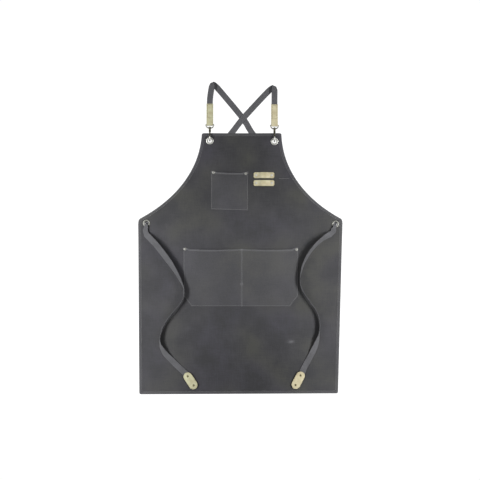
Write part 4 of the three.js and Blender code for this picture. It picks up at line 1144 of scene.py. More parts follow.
def bore_run(hole, come, go):
    """Gathered narrow, up through the bore and out over its rim."""
    turn = math.atan2(come[0] * go[1] - come[1] * go[0], come.dot(go))
    sections = []
    for along, out, z, pitch, width, thick in through(BORE_ROWS, 4):
        swing = turn * float(smoothstep(pitch, 40, 100))
        c, s = math.cos(swing), math.sin(swing)
        bearing = np.array([c * come[0] - s * come[1], s * come[0] + c * come[1], 0])
        if pitch > 90:
            bearing = go
        lean = math.radians(pitch)
        heading = unit(bearing * abs(math.cos(lean)) + UP * math.sin(lean))
        w = np.cross(-UP, bearing)
        centre = flat(hole, z) + come * along + go * out
        sections.append(section(centre, w, np.cross(heading, w), width, thick))
    return sections


# %% Along the front
# How far inside its leather a tie starts to lie flat, and how far before the other edge it ends
TIE_START, TIE_STOP = 2, 6
# A tie rests on the highest of these places across it, which reach past its edges by a margin. Where it
# stands on its edge it keeps a small gap, and steps in its height are smoothed so many times.
PLACES_ACROSS = np.linspace(-1.2, 1.2, 13)
EDGE_MARGIN, EDGE_GAP = 2, 0.2
SMOOTHINGS = 6


def tie_run(rows, tab, spring):
    """Along the front, resting on whatever lies there, leaning over as the table says."""
    heading = unit(flat(tab["heading"]))
    middle = flat(tab["middle"])
    start = middle - heading * (END_TAB["length"] / 2 - TIE_START)
    knots = [np.array(row, float) for row in rows] + [start]
    line = through(knots, 10)
    headings = level_headings(line * (1, 1, 0))
    rolls = np.radians(line[:, 2])
    lefts = np.cross(UP, headings)
    rest = np.zeros(len(line))
    for q in PLACES_ACROSS:
        reach = q * STRAP_WIDTH * np.cos(rolls) / 2 + EDGE_MARGIN * np.sign(q)
        under = surface_top(line[:, 0] + lefts[:, 0] * reach, line[:, 1] + lefts[:, 1] * reach)
        rest = np.maximum(rest, under - np.clip(q, -1, 1) * STRAP_WIDTH * np.sin(rolls) / 2)
    rest[-1] = TAB_STRAP_Z - STRAP_THICK / 2 - 2 * GAP
    for _ in range(SMOOTHINGS):
        rest[1:-1] = np.maximum(rest[1:-1], (rest[:-2] + rest[2:]) / 2)
    sprung = np.clip(np.linspace(0, 1, len(line)) / TIE_SPRING["share"], 0, 1)
    rest = rest + spring * np.sin(math.pi * (TIE_SPRING["lead"] + (1 - TIE_SPRING["lead"]) * sprung)) ** 2
    sections = []
    for (x, y, _), left, roll, z in zip(line, lefts, rolls, rest):
        w = -left * math.cos(roll) - UP * math.sin(roll)
        n = left * math.sin(roll) - UP * math.cos(roll)
        height = z + GAP + STRAP_THICK / 2 * abs(math.cos(roll)) + EDGE_GAP * abs(math.sin(roll))
        sections.append(section(np.array([x, y, height]), w, n, STRAP_WIDTH, STRAP_THICK))
    end = middle + heading * (END_TAB["length"] / 2 - TIE_STOP)
    for share in np.linspace(0.2, 1, 8):
        at = (start + (end - start) * share) * (1, 1, 0) + UP * TAB_STRAP_Z
        sections.append(section(at, np.cross(-UP, heading), -UP, STRAP_WIDTH, STRAP_THICK))
    return sections


# %% Both straps
WEBBING_PROFILE = tape_profile(0.07)
# The strap starts to gather this far before its grommet.
BORE_LEAD = 52


def strap_sections(side):
    route = ROUTES[side]
    tie = route["tie"]
    hole = np.array(WAIST_GROMMETS[tie])
    arrive = hole - BORE_LEAD * unit(hole - np.array(route["floor"][-1], float))
    floor, come = floor_run(route, arrive)
    bore = bore_run(hole, come, unit(flat(route["exit"])))
    front = front_run(side) + fold_run(route)
    return front + floor + bore + tie_run(TIES[tie], END_TABS[tie], TIE_SPRING[tie])


for side in SIDES:
    sections = strap_sections(side)
    strap = link_loft(f"strap_webbing_{side}", sections, WEBBING_PROFILE, webbing)
    seat(strap, "webbing", f"strap_{side}")
    middles = np.array([(s[0] + s[1]) / 2 for s in sections])
    length = np.linalg.norm(np.diff(middles, axis=0), axis=1).sum()
    print(strap.name, round(length), "mm long,", len(sections), "sections")

# %% [markdown]
# ## Leather ends, tool loops and tie ends
#
# A strap's lower end sits inside a strip of leather that is folded round the bar of the hook's eye. That
# is a tape with a path of its own, so the same loft makes it, with square shoulders. The tool loops and
# the oval tie ends are cut from flat hide, so they are sheets with a slightly rounded, burnished edge.

# %% Folded strap ends
def strap_end_sections(side):
    """Along the strip: out on the upper side, round the bar, and back underneath."""
    centre = STRAP_THICK / 2 + GAP + LEATHER / 2
    bend = TAB["wrap"] + LEATHER / 2
    upper = [(v, centre) for v in np.linspace(TAB["length"], 12, 14)] + [(8, centre + 0.2)]
    turn = np.linspace(math.pi / 2, 3 * math.pi / 2, 17)
    nose = [(bend * math.cos(t), bend * math.sin(t)) for t in turn]
    path = np.array(upper + nose + [(v, -h) for v, h in reversed(upper)])
    heading = np.gradient(path, axis=0)
    heading /= np.linalg.norm(heading, axis=1)[:, None]
    origin, along, out = leather_frame(side)
    w = np.array([1.0, 0, 0])
    sections = []
    for (v, h), (dv, dh) in zip(path, heading):
        normal = along * dh - out * dv
        sections.append(section(origin + along * v + out * h, w, normal, TAB["width"], LEATHER))
    return sections


LEATHER_PROFILE = tape_profile(0.05)
EDGE_STAIN = 0.25
for side in SIDES:
    strip = link_loft(f"strap_end_leather_{side}", strap_end_sections(side), LEATHER_PROFILE, leather)
    rows = len(strip.data.vertices) // len(LEATHER_PROFILE)
    store(strip, "marks_and_highlight", np.tile(np.abs(LEATHER_PROFILE[:, 0]) > 0.97, rows) * EDGE_STAIN)
    seat(strip, "leather", f"strap_leather_{side}")
print("two folded leather strips,", TAB["length"], "mm long on each side")

# %% Pieces cut from flat hide
HIDE_EDGE = [(0.0, 0.7, 0.5), (0.25, 0.25, 0.15), (0.8, 0.0, 0.0), (1.8, 0.0, 0.0)]
BURNISH, BURNISH_MM = 0.8, 0.7


def cut_hide(name, node, corners, corner_step, base):
    """A piece of hide that lies at the height of its base, darker where it was cut and burnished."""
    outline = patch_outline(corners, corner_step)
    line = closed(outline(0))
    hide = make_sheet(
        name,
        leather,
        outline,
        HIDE_EDGE,
        step=2.2,
        top=lambda x, y: base(x, y) + LEATHER,
        under=base,
        marks_and_highlight=lambda x, y: BURNISH * np.exp(-line_distance(x, y, line) / BURNISH_MM),
    )
    return seat(hide, "leather", node)


# %% Tool loops
LOOP_END = 5


def loop_corners(y):
    """Outline of a loop: a strip whose ends are drawn in."""
    half = LOOP["length"] / 2
    s = np.concatenate([np.linspace(-half, LOOP_END - half, 5), np.linspace(half - LOOP_END, half, 5)])
    drawn_in = np.clip((np.abs(s) - (half - LOOP_END)) / LOOP_END, 0, 1)
    width = LOOP["width"] / 2 * (1 - 0.45 * drawn_in**2)
    lower = np.column_stack([LOOP["x"] + s, y - width])
    upper = np.column_stack([LOOP["x"] + s, y + width])[::-1]
    return np.vstack([lower, upper])


def loop_base(x, _):
    span = LOOP["length"] / 2 - LOOP["seat"]
    return POCKET_SEAT + LOOP["arch"] * (1 - smoothstep(np.abs(x - LOOP["x"]), 0.35 * span, span))


for level, y in LOOP_Y.items():
    cut_hide(f"tool_loop_leather_{level}", f"tool_loop_{level}", loop_corners(y), 2.0, loop_base)

# %% Oval tie ends
END_TAB_Z = TAB_STRAP_Z + STRAP_THICK / 2 + GAP


def oval_corners(tab):
    half = END_TAB["width"] / 2
    straight = END_TAB["length"] / 2 - half
    turn = np.linspace(-math.pi / 2, math.pi / 2, 28)
    right = np.column_stack([straight + half * np.cos(turn), (half - 1) * np.sin(turn)])
    oval = np.vstack([right, -right])
    c, s = unit(np.array(tab["heading"]))
    return oval @ np.array([[c, s], [-s, c]]) + tab["middle"]


def end_tab_base(x, _):
    return np.full(np.shape(x), END_TAB_Z)


for side, tab in END_TABS.items():
    cut_hide(f"tie_end_leather_{side}", f"end_tab_{side}", oval_corners(tab), 4.0, end_tab_base)

# %% [markdown]
# ## Rivets and grommets
#
# Each of these is a turned part: a profile spun about its own axis. They repeat, so one is made of each
# kind and Geometry Nodes sets it on every place. The tree takes points, puts the part on each, makes the
# instances real and gives them their metal. The result is then turned into one plain mesh for each kind.

# %% Turned parts
def turned_mesh(name, profile, segments, material):
    """A profile of radius and height, spun about the z axis. It ends at radius 0 or where it began."""
    angle = np.linspace(0, 2 * math.pi, segments, endpoint=False)
    points, rings = [], []
    for radius, height in profile:
        if rings and (radius, height) == profile[0]:
            rings.append(rings[0])
        elif radius == 0:
            rings.append([len(points)] * segments)
            points.append((0, 0, height))
        else:
            rings.append([len(points) + i for i in range(segments)])
            points += [(radius * math.cos(t), radius * math.sin(t), height) for t in angle]
    faces = []
    for low, high in zip(rings, rings[1:]):
        for i in range(segments):
            j = (i + 1) % segments
            corners = dict.fromkeys((low[i], low[j], high[j], high[i]))
            if len(corners) > 2:
                faces.append(tuple(corners))
    return link_mesh(name, points, faces, material, smooth_angle=40)


def rivet_profile(head, dome, shank, back, height):
    """From the flat back, which lies below, to the crown of the head; 0 is the seat of the head."""
    crown = [(head * math.cos(t), 0.35 * dome + 0.65 * dome * math.sin(t)) for t in np.linspace(0, 1.45, 8)]
    return [
        (0, -height),
        (back, -height),
        (back, RIVET_BACK - height),
        (shank, RIVET_BACK - height),
        (shank, 0),
        (head - 0.25, 0),
        (head, 0.15 * dome),
        *crown,
        (0, dome),
    ]


def grommet_profile():
    """Both flanges and the barrel, round once from the bore; 0 is the underside of the cloth."""
    bore, barrel, flange, thick = 6.5, 7.2, 12.5, 1.0
    low = -GAP - thick
    high = low + 2 * thick + 2 * GAP + CANVAS
    middle, half = 0.5 * (bore + flange), 0.5 * (flange - bore)
    turn = np.linspace(0, math.pi, 13)
    bead = [(middle + half * math.cos(t), high - 0.75 + 0.95 * math.sin(t)) for t in turn]
    rim = [(bore, low + 0.3), (bore + 0.4, low), (flange - 0.4, low), (flange, low + 0.3)]
    neck = [(flange, low + thick), (barrel, low + thick), (barrel, high - thick), (flange, high - thick)]
    return rim + neck + bead + [(bore, low + 0.3)]


# %% Tree that sets a part on points
def new_tree(name, sockets):
    """A node group with a geometry in and out and the other named inputs."""
    tree = bpy.data.node_groups.new(name, "GeometryNodeTree")
    tree.interface.new_socket("Geometry", in_out="INPUT", socket_type="NodeSocketGeometry")
    for label, kind in sockets:
        tree.interface.new_socket(label, in_out="INPUT", socket_type=kind)
    tree.interface.new_socket("Geometry", in_out="OUTPUT", socket_type="NodeSocketGeometry")
    return tree, add_node(tree, "NodeGroupInput").outputs


def close_tree(tree, instances, material):
    """Makes the instances real, gives them their material and sends them out."""
    real = add_node(tree, "GeometryNodeRealizeInstances", {"Geometry": instances})
    finished = add_node(tree, "GeometryNodeSetMaterial", {"Geometry": real, "Material": material})
    add_node(tree, "NodeGroupOutput", {"Geometry": finished})


def run_tree(tree, source, name, **values):
    """Runs a tree on a mesh, keeps the result as a plain mesh and removes the source."""
    modifier = source.modifiers.new("parts", "NODES")
    modifier.node_group = tree
    for item in tree.interface.items_tree:
        if item.in_out == "INPUT" and item.name in values:
            modifier[item.identifier] = values[item.name]
    graph = bpy.context.evaluated_depsgraph_get()
    mesh = bpy.data.meshes.new_from_object(source.evaluated_get(graph), depsgraph=graph)
    mesh.name = name
    bpy.data.objects.remove(source)
    print(name, len(mesh.polygons), "faces")
    return link_object(name, mesh)


set_parts, parts_in = new_tree(
    "set_on_points", [("Part", "NodeSocketObject"), ("Metal", "NodeSocketMaterial")]
)
part_shape = add_node(set_parts, "GeometryNodeObjectInfo", {"Object": parts_in["Part"]}).outputs["Geometry"]
on_places = {"Points": parts_in["Geometry"], "Instance": part_shape}
parts_set = add_node(set_parts, "GeometryNodeInstanceOnPoints", on_places)
close_tree(set_parts, parts_set, parts_in["Metal"])
print("tree", set_parts.name, "has", len(set_parts.nodes), "nodes")

# %% Rivets on pockets, loops and tie ends
POCKET_RIVET = {"head": 4.8, "dome": 1.6, "shank": 1.8, "back": 4.0, "height": 4.0}
LOOP_RIVET = {"head": 3.6, "dome": 1.3, "shank": 1.5, "back": 3.4, "height": 4.4}
TAB_RIVET = {**LOOP_RIVET, "height": 5.0}
# A head presses this far into cloth or hide.
CLOTH_GIVE, HIDE_GIVE = 0.15, 0.1


def set_on(name, part, places, metal, nodes, slot):
    points = link_mesh(f"{name}_places", places, [], metal)
    piece = run_tree(set_parts, points, name, Part=part, Metal=metal)
    bpy.data.objects.remove(part)
    return seat(piece, slot, *nodes)


pocket_places = []
for name, spot in POCKET_RIVETS.items():
    top = pocket_top(CHEST if "chest" in name else LOWER, *spot)
    pocket_places.append((*spot, float(top) - CLOTH_GIVE))
pocket_rivet = turned_mesh("pocket_rivet", rivet_profile(**POCKET_RIVET), 28, dull_nickel)
set_on("pocket_rivets", pocket_rivet, pocket_places, dull_nickel, POCKET_RIVETS, "nickel")

loop_places, loop_nodes = [], []
for level, y in LOOP_Y.items():
    for side, sign in zip(SIDES, (-1, 1)):
        loop_places.append((LOOP["x"] + sign * LOOP["rivet"], y, POCKET_SEAT + LEATHER - HIDE_GIVE))
        loop_nodes.append(f"rivet_loop_{level}_{side}")
loop_rivet = turned_mesh("loop_rivet", rivet_profile(**LOOP_RIVET), 24, bright_nickel)
set_on("loop_rivets", loop_rivet, loop_places, bright_nickel, loop_nodes, "nickel")

tab_places, tab_nodes = [], []
for side, tab in END_TABS.items():
    heading = unit(np.array(tab["heading"]))
    for end, sign in (("inner", -1), ("outer", 1)):
        spot = np.array(tab["middle"]) + sign * END_TAB["rivet"] * heading
        tab_places.append((*spot, END_TAB_Z + LEATHER - HIDE_GIVE))
        tab_nodes.append(f"rivet_tab_{side}_{end}")
tab_rivet = turned_mesh("tab_rivet", rivet_profile(**TAB_RIVET), 24, brass)
set_on("tie_end_rivets", tab_rivet, tab_places, brass, tab_nodes, "brass")

# %% Grommets
# The bib grommets take the bright satin, which paints a highlight on them. The waist grommets take a darker
# copy of the nickel, which paints shade on them.
for place, middles, rise, metal in (
    ("bib", BIB_GROMMETS, BIB_LIFT, bright_nickel),
    ("waist", WAIST_GROMMETS, WAIST_LIFT, shaded_nickel),
):
    grommet_places = [(*p, SHEET_Z + rise) for p in middles.values()]
    grommet_nodes = [f"grommet_{place}_{side}" for side in middles]
    grommet = turned_mesh("grommet", grommet_profile(), 56, metal)
    set_on(f"{place}_grommets", grommet, grommet_places, metal, grommet_nodes, "nickel")

# %% [markdown]
# ## Snap hooks
#
# A hook stands upright in its grommet: the spine runs under the cloth, the bow comes up through the bore
# and the nose lies above it. The bow is a bent bar, so it is lofted along its path, which keeps its
# section the same all the way round. A forked block carries the pin of the gate, and a flat-sided gate
# closes the hook. The eye is a bent ring with a collar that turns on the neck. The gates are pieces of
# their own, because they swing.

# %% Bent bars of the hook and the eye
ROUND_BAR = circle((0, 0), 1, 20)
SOFT_BAR = np.sign(ROUND_BAR) * np.abs(ROUND_BAR) ** 0.6
NOSE_Y = (9, 11, 13, 14.2, 15)
EYE_CORNER = 0.45


def bar_sections(path, side, width, thick, loop=False):
    """Sections of a bar along a path; side is the way across it. The width may vary along the path."""
    path = np.asarray(path, float)
    widths = np.broadcast_to(width, len(path))
    if loop:
        heading = np.roll(path, -1, axis=0) - np.roll(path, 1, axis=0)
    else:
        heading = np.gradient(path, axis=0)
    sections = []
    for p, h, wide in zip(path, heading, widths):
        w = side if side is not None else np.cross(UP, unit(h))
        n = unit(np.cross(h, w))
        sections.append(section(p, w, n, wide, thick))
    return sections


def hook_path():
    """From the block down the spine, round the bow and along the nose."""
    middle = (HOOK_LOW + HOOK_HIGH) / 2
    bend = (HOOK_HIGH - HOOK_LOW - BAR) / 2
    spine = [(0, y, HOOK_LOW + BAR / 2) for y in np.linspace(BLOCK["y0"] + 2, BOW_Y + 1, 10)]
    turn = np.linspace(-math.pi / 2, -3 * math.pi / 2, 25)
    bow = [(0, BOW_Y + bend * math.cos(t), middle + bend * math.sin(t)) for t in turn]
    nose = [(0, y, HOOK_HIGH - BAR / 2) for y in NOSE_Y]
    return spine + bow + nose


def eye_path():
    """Round the eye, with its width at each point: along the bar and back through the bow."""
    half = EYE["inner_half"] + EYE["bar"] / 2
    y0 = EYE["bar_y"]
    bar_end = half - EYE["bar"] / 2
    bar = [(x, y0, SWIVEL_Z) for x in np.linspace(bar_end, -bar_end, 12)]
    corner = [(-half + EYE_CORNER, y0 - EYE_CORNER, SWIVEL_Z)]
    base = y0 - EYE["bar"] / 2
    turn = np.linspace(math.pi, 2 * math.pi, 33)
    depth = EYE["depth"] + EYE["bow"] / 2
    arc = [(half * math.cos(t), base + depth * math.sin(t), SWIVEL_Z) for t in turn]
    last = [(half - EYE_CORNER, y0 - EYE_CORNER, SWIVEL_Z)]
    path = np.array(bar + corner + arc + last)
    low = np.clip((base - path[:, 1]) / depth, 0, 1)
    return path, EYE["bar"] + (EYE["bow"] - EYE["bar"]) * low**2


# %% Neck and collar, as radius and height
COLLAR = {"y0": BLOCK["y1"] + 2.2, "y1": EYE["bar_y"] - EYE["bar"] / 2 - EYE["depth"] + 0.8, "radius": 3.6}
NECK = {"foot": 3.5, "shaft": 2.0, "head": 3.1, "rim": 1.2, "crown": 1.8, "start": BLOCK["y1"] - 1}
COLLAR_BORE, COLLAR_EDGE = NECK["shaft"] + GAP, 0.4
neck_low, neck_high = COLLAR["y0"] - GAP, COLLAR["y1"] + GAP
STEM = [
    (0, NECK["start"]),
    (NECK["foot"], NECK["start"]),
    (NECK["foot"], neck_low),
    (NECK["shaft"], neck_low),
    (NECK["shaft"], neck_high),
    (NECK["head"], neck_high),
    (NECK["head"], neck_high + NECK["rim"]),
    (0, neck_high + NECK["crown"]),
]
COLLAR_RING = [
    (COLLAR_BORE, COLLAR["y0"]),
    (COLLAR["radius"] - COLLAR_EDGE, COLLAR["y0"]),
    (COLLAR["radius"], COLLAR["y0"] + COLLAR_EDGE),
    (COLLAR["radius"], COLLAR["y1"] - COLLAR_EDGE),
    (COLLAR["radius"] - COLLAR_EDGE, COLLAR["y1"]),
    (COLLAR_BORE, COLLAR["y1"]),
    (COLLAR_BORE, COLLAR["y0"]),
]
print("collar", round(COLLAR["y1"] - COLLAR["y0"], 1), "mm long on a neck of radius", NECK["shaft"])

# %% Outlines of the gate and the block
GATE = {"tip": 12.9, "deep": 2.2, "eye": 2.2, "half": 2.0, "bevel": 0.4}
# The thumb piece, as distance from the pin and height above the gate
THUMB = ((4, 0.6), (5, 1.6), (6, 2.2), (7.5, 2.1), (9, 1.6), (12, 0))


def gate_outline():
    """Side view of the gate, y across and z up."""
    top = HOOK_HIGH - BAR - GAP
    turn = np.linspace(-2.1, 1.7, 15)
    eye = [(PIVOT["y"] + GATE["eye"] * math.cos(t), PIVOT["z"] + GATE["eye"] * math.sin(t)) for t in turn]
    thumb = [(PIVOT["y"] - d, top + h) for d, h in THUMB]
    under = [(GATE["tip"], top - GATE["deep"]), (PIVOT["y"] - 1.5, PIVOT["z"] - 2.1)]
    return [*under, *eye, *thumb, (GATE["tip"], top)]


def block_outline():
    """End view of the forked block, x across and z up."""
    half, slot = BLOCK["width"] / 2, BLOCK["slot_half"]
    right = [(half, HOOK_LOW), (half, BLOCK["z1"]), (slot, BLOCK["z1"]), (slot, BLOCK["slot_z"])]
    return right + [(-x, z) for x, z in reversed(right)]


# %% Bars, plates and turned pieces of metal
def place_mesh(piece, offset, turn=None):
    """Moves or turns a mesh inside its object, which stays at the origin."""
    points = np.array([v.co for v in piece.data.vertices])
    if turn is not None:
        points = points @ np.array(turn, float)
    piece.data.vertices.foreach_set("co", (points + np.array(offset) * MM).ravel())
    piece.data.update()
    return piece


def plate(name, outline, axes, start, depth, bevel, metal):
    """A plate from an outline; axes gives where its two directions and its depth point."""
    across, up, out = (np.array(a, float) for a in axes)
    front = [across * a + up * b + out * start for a, b in outline]
    points = front + [p + out * depth for p in front]
    n = len(outline)
    faces = [tuple(range(n)), tuple(range(2 * n - 1, n - 1, -1))]
    faces += [(i, (i + 1) % n, n + (i + 1) % n, n + i) for i in range(n)]
    piece = link_mesh(name, points, faces, metal, smooth_angle=35)
    face_outward(piece)
    shape = bmesh.new()
    shape.from_mesh(piece.data)
    sharp = [e for e in shape.edges if e.calc_face_angle(0) > math.radians(30)]
    bmesh.ops.bevel(shape, geom=sharp, offset=bevel * MM, segments=2, profile=0.6, affect="EDGES")
    bmesh.ops.triangulate(shape, faces=[f for f in shape.faces if len(f.verts) > 4])
    shape.to_mesh(piece.data)
    shape.free()
    return piece


def join(name, pieces):
    """One mesh from several closed shells, each of which keeps its metal."""
    whole = bmesh.new()
    mesh = bpy.data.meshes.new(name)
    for piece in pieces:
        metal = piece.data.materials[0]
        if metal.name not in mesh.materials:
            mesh.materials.append(metal)
        before = len(whole.faces)
        whole.from_mesh(piece.data)
        whole.faces.ensure_lookup_table()
        for face in whole.faces[before:]:
            face.material_index = mesh.materials.find(metal.name)
        bpy.data.objects.remove(piece)
    whole.to_mesh(mesh)
    whole.free()
    return link_object(name, mesh)


# %% Both hooks
X_AXIS, Y_AXIS, Z_AXIS = np.eye(3)
Z_TO_Y = [X_AXIS, -Z_AXIS, Y_AXIS]
Z_TO_X = [Y_AXIS, Z_AXIS, X_AXIS]


def turned_shell(name, profile, turn, offset, metal):
    piece = turned_mesh(name, profile, 24, metal)
    face_outward(piece)
    return place_mesh(piece, offset, turn)


def make_hook(side):
    bar = link_loft("bar", bar_sections(hook_path(), X_AXIS, HOOK_WIDTH, BAR), SOFT_BAR, bright_nickel)
    axes = (X_AXIS, Z_AXIS, Y_AXIS)
    length, bevel = BLOCK["y1"] - BLOCK["y0"], BLOCK["bevel"]
    block = plate("block", block_outline(), axes, BLOCK["y0"], length, bevel, dark_nickel)
    neck = turned_shell("neck", STEM, Z_TO_Y, (0, 0, SWIVEL_Z), dark_nickel)
    reach = BLOCK["width"] / 2 - PIVOT["inset"]
    pin_profile = [(0, -reach), (PIVOT["radius"], -reach), (PIVOT["radius"], reach), (0, reach)]
    pin = turned_shell("pin", pin_profile, Z_TO_X, (0, PIVOT["y"], PIVOT["z"]), dark_nickel)
    return join(f"snap_hook_{side}", [bar, block, neck, pin])


def make_eye(side):
    path, widths = eye_path()
    ring = link_loft("ring", bar_sections(path, None, widths, EYE["bar"], True), ROUND_BAR, dull_nickel, True)
    collar = turned_shell("collar", COLLAR_RING, Z_TO_Y, (0, 0, SWIVEL_Z), dark_nickel)
    return join(f"hook_ring_{side}", [ring, collar])


def make_gate(side):
    axes, half = (Y_AXIS, Z_AXIS, X_AXIS), GATE["half"]
    return plate(f"gate_lever_{side}", gate_outline(), axes, -half, 2 * half, GATE["bevel"], dark_nickel)


for side in SIDES:
    at = (*BIB_GROMMETS[side], 0.0)
    seat(place_mesh(make_hook(side), at), "nickel", f"hook_{side}")
    seat(place_mesh(make_eye(side), at), "nickel", f"hook_eye_{side}")
    seat(place_mesh(make_gate(side), at), "nickel", f"hook_gate_{side}", body=f"gate_{side}")
print("two hooks with their eyes and gates")

# %% [markdown]
# ## Stitches
#
# A sewing machine leaves a row of short, slightly sunken threads. They could be painted on as dashes, but
# then no stitch would catch the light. One stitch is modelled as a bent bar that dips into the cloth at
# both ends. The seams are lines laid on the surface of the cloth, and a second tree spaces stitches along
# them evenly, turns each to its line and varies its size a little.

# %% Tree that sews along lines
sew, sew_in = new_tree(
    "sew_along_lines",
    [("Stitch", "NodeSocketObject"), ("Pitch", "NodeSocketFloat"), ("Thread", "NodeSocketMaterial")],
)
seam_curve = add_node(sew, "GeometryNodeMeshToCurve", {"Mesh": sew_in["Geometry"]})
by_pitch = {"Curve": seam_curve, "Length": sew_in["Pitch"]}
spaced = add_node(sew, "GeometryNodeResampleCurve", by_pitch, mode="LENGTH")
tangent = add_node(sew, "GeometryNodeInputTangent")
turned_to = add_node(sew, "FunctionNodeAlignRotationToVector", {"Vector": tangent}, axis="X")
uneven = {"Min": (0.9, 0.92, 0.9), "Max": (1.05, 1.08, 1.1), "Seed": 7}
size = add_node(sew, "FunctionNodeRandomValue", uneven, data_type="FLOAT_VECTOR")
stitch_shape = add_node(sew, "GeometryNodeObjectInfo", {"Object": sew_in["Stitch"]}).outputs["Geometry"]
on_seam = {"Points": spaced, "Instance": stitch_shape, "Rotation": turned_to, "Scale": size}
sewn = add_node(sew, "GeometryNodeInstanceOnPoints", on_seam)
close_tree(sew, sewn, sew_in["Thread"])
print("tree", sew.name, "has", len(sew.nodes), "nodes")

# %% One stitch
# The thread sinks into the groove by a share of its depth.
STITCH = {"pitch": 3.4, "length": 2.9, "radius": 0.42, "sink": 0.7}
SEAM_STEP = 2.5
HEX_BAR = circle((0, 0), 1, 6)


def make_stitch(thread_kind):
    half = STITCH["length"] / 2
    path = [(half * u, 0, STITCH["radius"] * (0.55 - 1.1 * u * u)) for u in (-1, -0.6, 0, 0.6, 1)]
    width = 2 * STITCH["radius"]
    return link_loft("stitch", bar_sections(path, Y_AXIS, width, width), HEX_BAR, thread_kind)


def seam_points(line, top, shift=None, seams=()):
    """A seam laid on the cloth, with points close enough together to follow it."""
    x, y = resample(line, SEAM_STEP).T
    z = top(x, y) - STITCH["sink"] * groove(x, y, seams)
    return np.column_stack([x, y if shift is None else y + shift(x, y), z])


def sew_lines(name, lines, thread_kind):
    """Stitches along several lines, as one plain mesh."""
    points = np.vstack(lines)
    edges, start = [], 0
    for line in lines:
        edges += [(start + i, start + i + 1) for i in range(len(line) - 1)]
        start += len(line)
    source = link_mesh(f"{name}_lines", points, [], thread_kind)
    source.data.edges.add(len(edges))
    source.data.edges.foreach_set("vertices", np.array(edges).ravel())
    source.data.update()
    template = make_stitch(thread_kind)
    piece = run_tree(sew, source, name, Stitch=template, Pitch=STITCH["pitch"] * MM, Thread=thread_kind)
    bpy.data.objects.remove(template)
    return piece


# %% Seams of the body and the pockets
# A tack is a few short rows close together, the divider is sewn twice, and one short row of stitches lies
# beside the tool loops.
TACK_HALF, TACK_ROWS = 3.2, (-3, -1.5, 0, 1.5, 3)
DIVIDER_ROWS = (-1.4, 1.4)
tack = np.array([(DIVIDER_X - TACK_HALF, TACK_Y), (DIVIDER_X + TACK_HALF, TACK_Y)])
tacks = [tack + (0, up) for up in TACK_ROWS]
dividers = [divider_seam + (across, 0) for across in DIVIDER_ROWS]
mark = np.array([(132.0, 199.6), (162.0, 199.6)])


def pocket_lines(pocket, seams):
    top, shift = partial(pocket_top, pocket), partial(pocket_shift, pocket)
    return [seam_points(seam, top, shift, [seam]) for seam in seams]


hem_stitches = sew_lines("hem_stitches", [seam_points(hem_line, panel_top, seams=[hem_guide])], thread)
mark_stitches = sew_lines("side_mark_stitches", [seam_points(mark, panel_top)], thread)
chest_stitches = sew_lines("chest_pocket_stitches", pocket_lines(CHEST, chest_seams), thread)
lower_rows = [*lower_seams[:2], *dividers, *tacks]
lower_stitches = sew_lines("lower_pocket_stitches", pocket_lines(LOWER, lower_rows), thread)
for piece in (hem_stitches, mark_stitches, chest_stitches, lower_stitches):
    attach(piece, "apron")

# %% Box of stitches on each leather end
# Its distances from the sides, the fold and the far end, and how far its thread sinks in
LEATHER_BOX = {"side": 3.2, "start": 22, "end": 3.5, "sink": 0.05}


def leather_box(side):
    """The stitched box on top of a folded leather end."""
    origin, along, out = leather_frame(side)
    height = STRAP_THICK / 2 + GAP + LEATHER - LEATHER_BOX["sink"]
    half = TAB["width"] / 2 - LEATHER_BOX["side"]
    low, high = LEATHER_BOX["start"], TAB["length"] - LEATHER_BOX["end"]
    box = [(-half, low), (half, low), (half, high), (-half, high), (-half, low)]
    return np.array([origin + X_AXIS * x + along * v + out * height for x, v in resample(box, SEAM_STEP)])


leather_stitches = sew_lines("strap_end_stitches", [leather_box(side) for side in SIDES], leather_thread)
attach(leather_stitches, "apron")

# %% [markdown]
# ## Flat areas of the body and the lower pocket
#
# The body and the pockets are sheets of cloth that lie flat. The body isn't a rectangle, and neither is the
# lower pocket, so their flat areas are worked out from their outlines.

def loop_area(loop):
    x, y = loop.T
    return abs(np.dot(x, np.roll(y, -1)) - np.dot(y, np.roll(x, -1))) / 2 * MM * MM


body_area = loop_area(body_outline(0))
lower_area = loop_area(lower_outline(0))
print("flat areas in square metres:", round(body_area, 4), round(lower_area, 4))

# %% [markdown]
# ## Floor, light and camera
#
# The apron was photographed from straight above on a lit white table. Two long strip lights with grids
# stand at its sides, so the sides of the cloth come out a little lighter than its middle, and a strap that
# stands on its edge is bright outside and dark inside. The table glows by itself, as a light table does,
# because a floor that is only lit would have to be so bright that its glare eats into the cloth's edge.

# %% Floor
def floor_material():
    material, tree, place = new_material("white_paper")
    _, tint = mottled(tree, place, 2, 3.0, "6e6e6e", "666666")
    glow = {"Emission Color": to_linear("ffffff"), "Emission Strength": 0.98}
    close_material(tree, {"Base Color": tint, "Roughness": 0.9, "Specular IOR Level": 0.1, **glow})
    return material


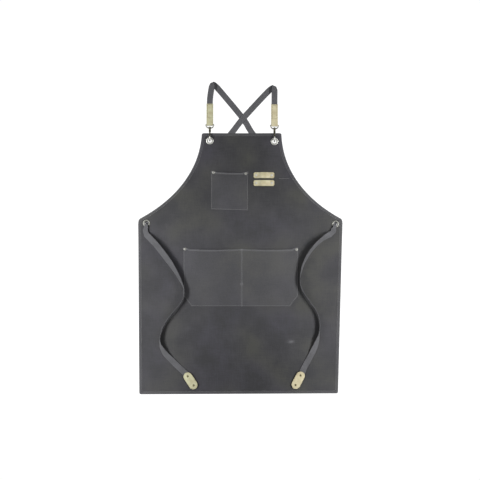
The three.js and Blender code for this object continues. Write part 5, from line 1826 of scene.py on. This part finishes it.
FLOOR_HALF, FLOOR_Z = 6000.0, -0.5
floor_corners = ((-1, -1), (1, -1), (1, 1), (-1, 1))
floor_points = [(x * FLOOR_HALF, y * FLOOR_HALF, FLOOR_Z) for x, y in floor_corners]
floor = link_mesh("floor", floor_points, [(0, 1, 2, 3)], floor_material())
print("floor", 2 * FLOOR_HALF * MM, "m across")

# %% Lights
# Places and sizes are in metres here, and the spread of the light is in degrees.
STRIP = {"out": 0.78, "aim": 0.3, "y": -0.03, "height": 0.7, "size": (1.5, 0.2), "watts": 3.2, "spread": 56}
WORLD_LIGHT = 0.28


def strip_light(name, sign):
    """A long soft box at one side, whose grid narrows its light to the cloth."""
    light = bpy.data.lights.new(name, "AREA")
    light.shape = "RECTANGLE"
    light.size, light.size_y = STRIP["size"]
    light.energy = STRIP["watts"]
    light.spread = math.radians(STRIP["spread"])
    lamp = link_object(name, light)
    place = Vector((sign * STRIP["out"], STRIP["y"], STRIP["height"]))
    aim = Vector((sign * STRIP["aim"], STRIP["y"], 0))
    lamp.location = place
    lamp.rotation_euler = (aim - place).to_track_quat("-Z", "Y").to_euler()


for side, sign in zip(SIDES, (-1, 1)):
    strip_light(f"{side}_strip", sign)
world = bpy.data.worlds.new("studio")
bpy.context.scene.world = world
world.use_nodes = True
world.node_tree.nodes["Background"].inputs["Color"].default_value = to_linear("ffffff")
world.node_tree.nodes["Background"].inputs["Strength"].default_value = WORLD_LIGHT
bpy.context.scene.view_settings.view_transform = "Standard"
print("two strips of", STRIP["watts"], "W")

# %% Camera
IMAGE_PIXELS, MM_PER_PIXEL = 480, 3.36
LENS, SENSOR = 100.0, 36.0
# The point that it looks straight down on, in metres
CAMERA_X, CAMERA_Y = -0.0011, -0.0067
distance = IMAGE_PIXELS * MM_PER_PIXEL * MM * LENS / SENSOR
camera = link_object("camera", bpy.data.cameras.new("camera"))
camera.data.lens, camera.data.sensor_width = LENS, SENSOR
camera.location = (CAMERA_X, CAMERA_Y, distance)
bpy.context.scene.camera = camera
print("camera", round(distance, 2), "m above the floor")
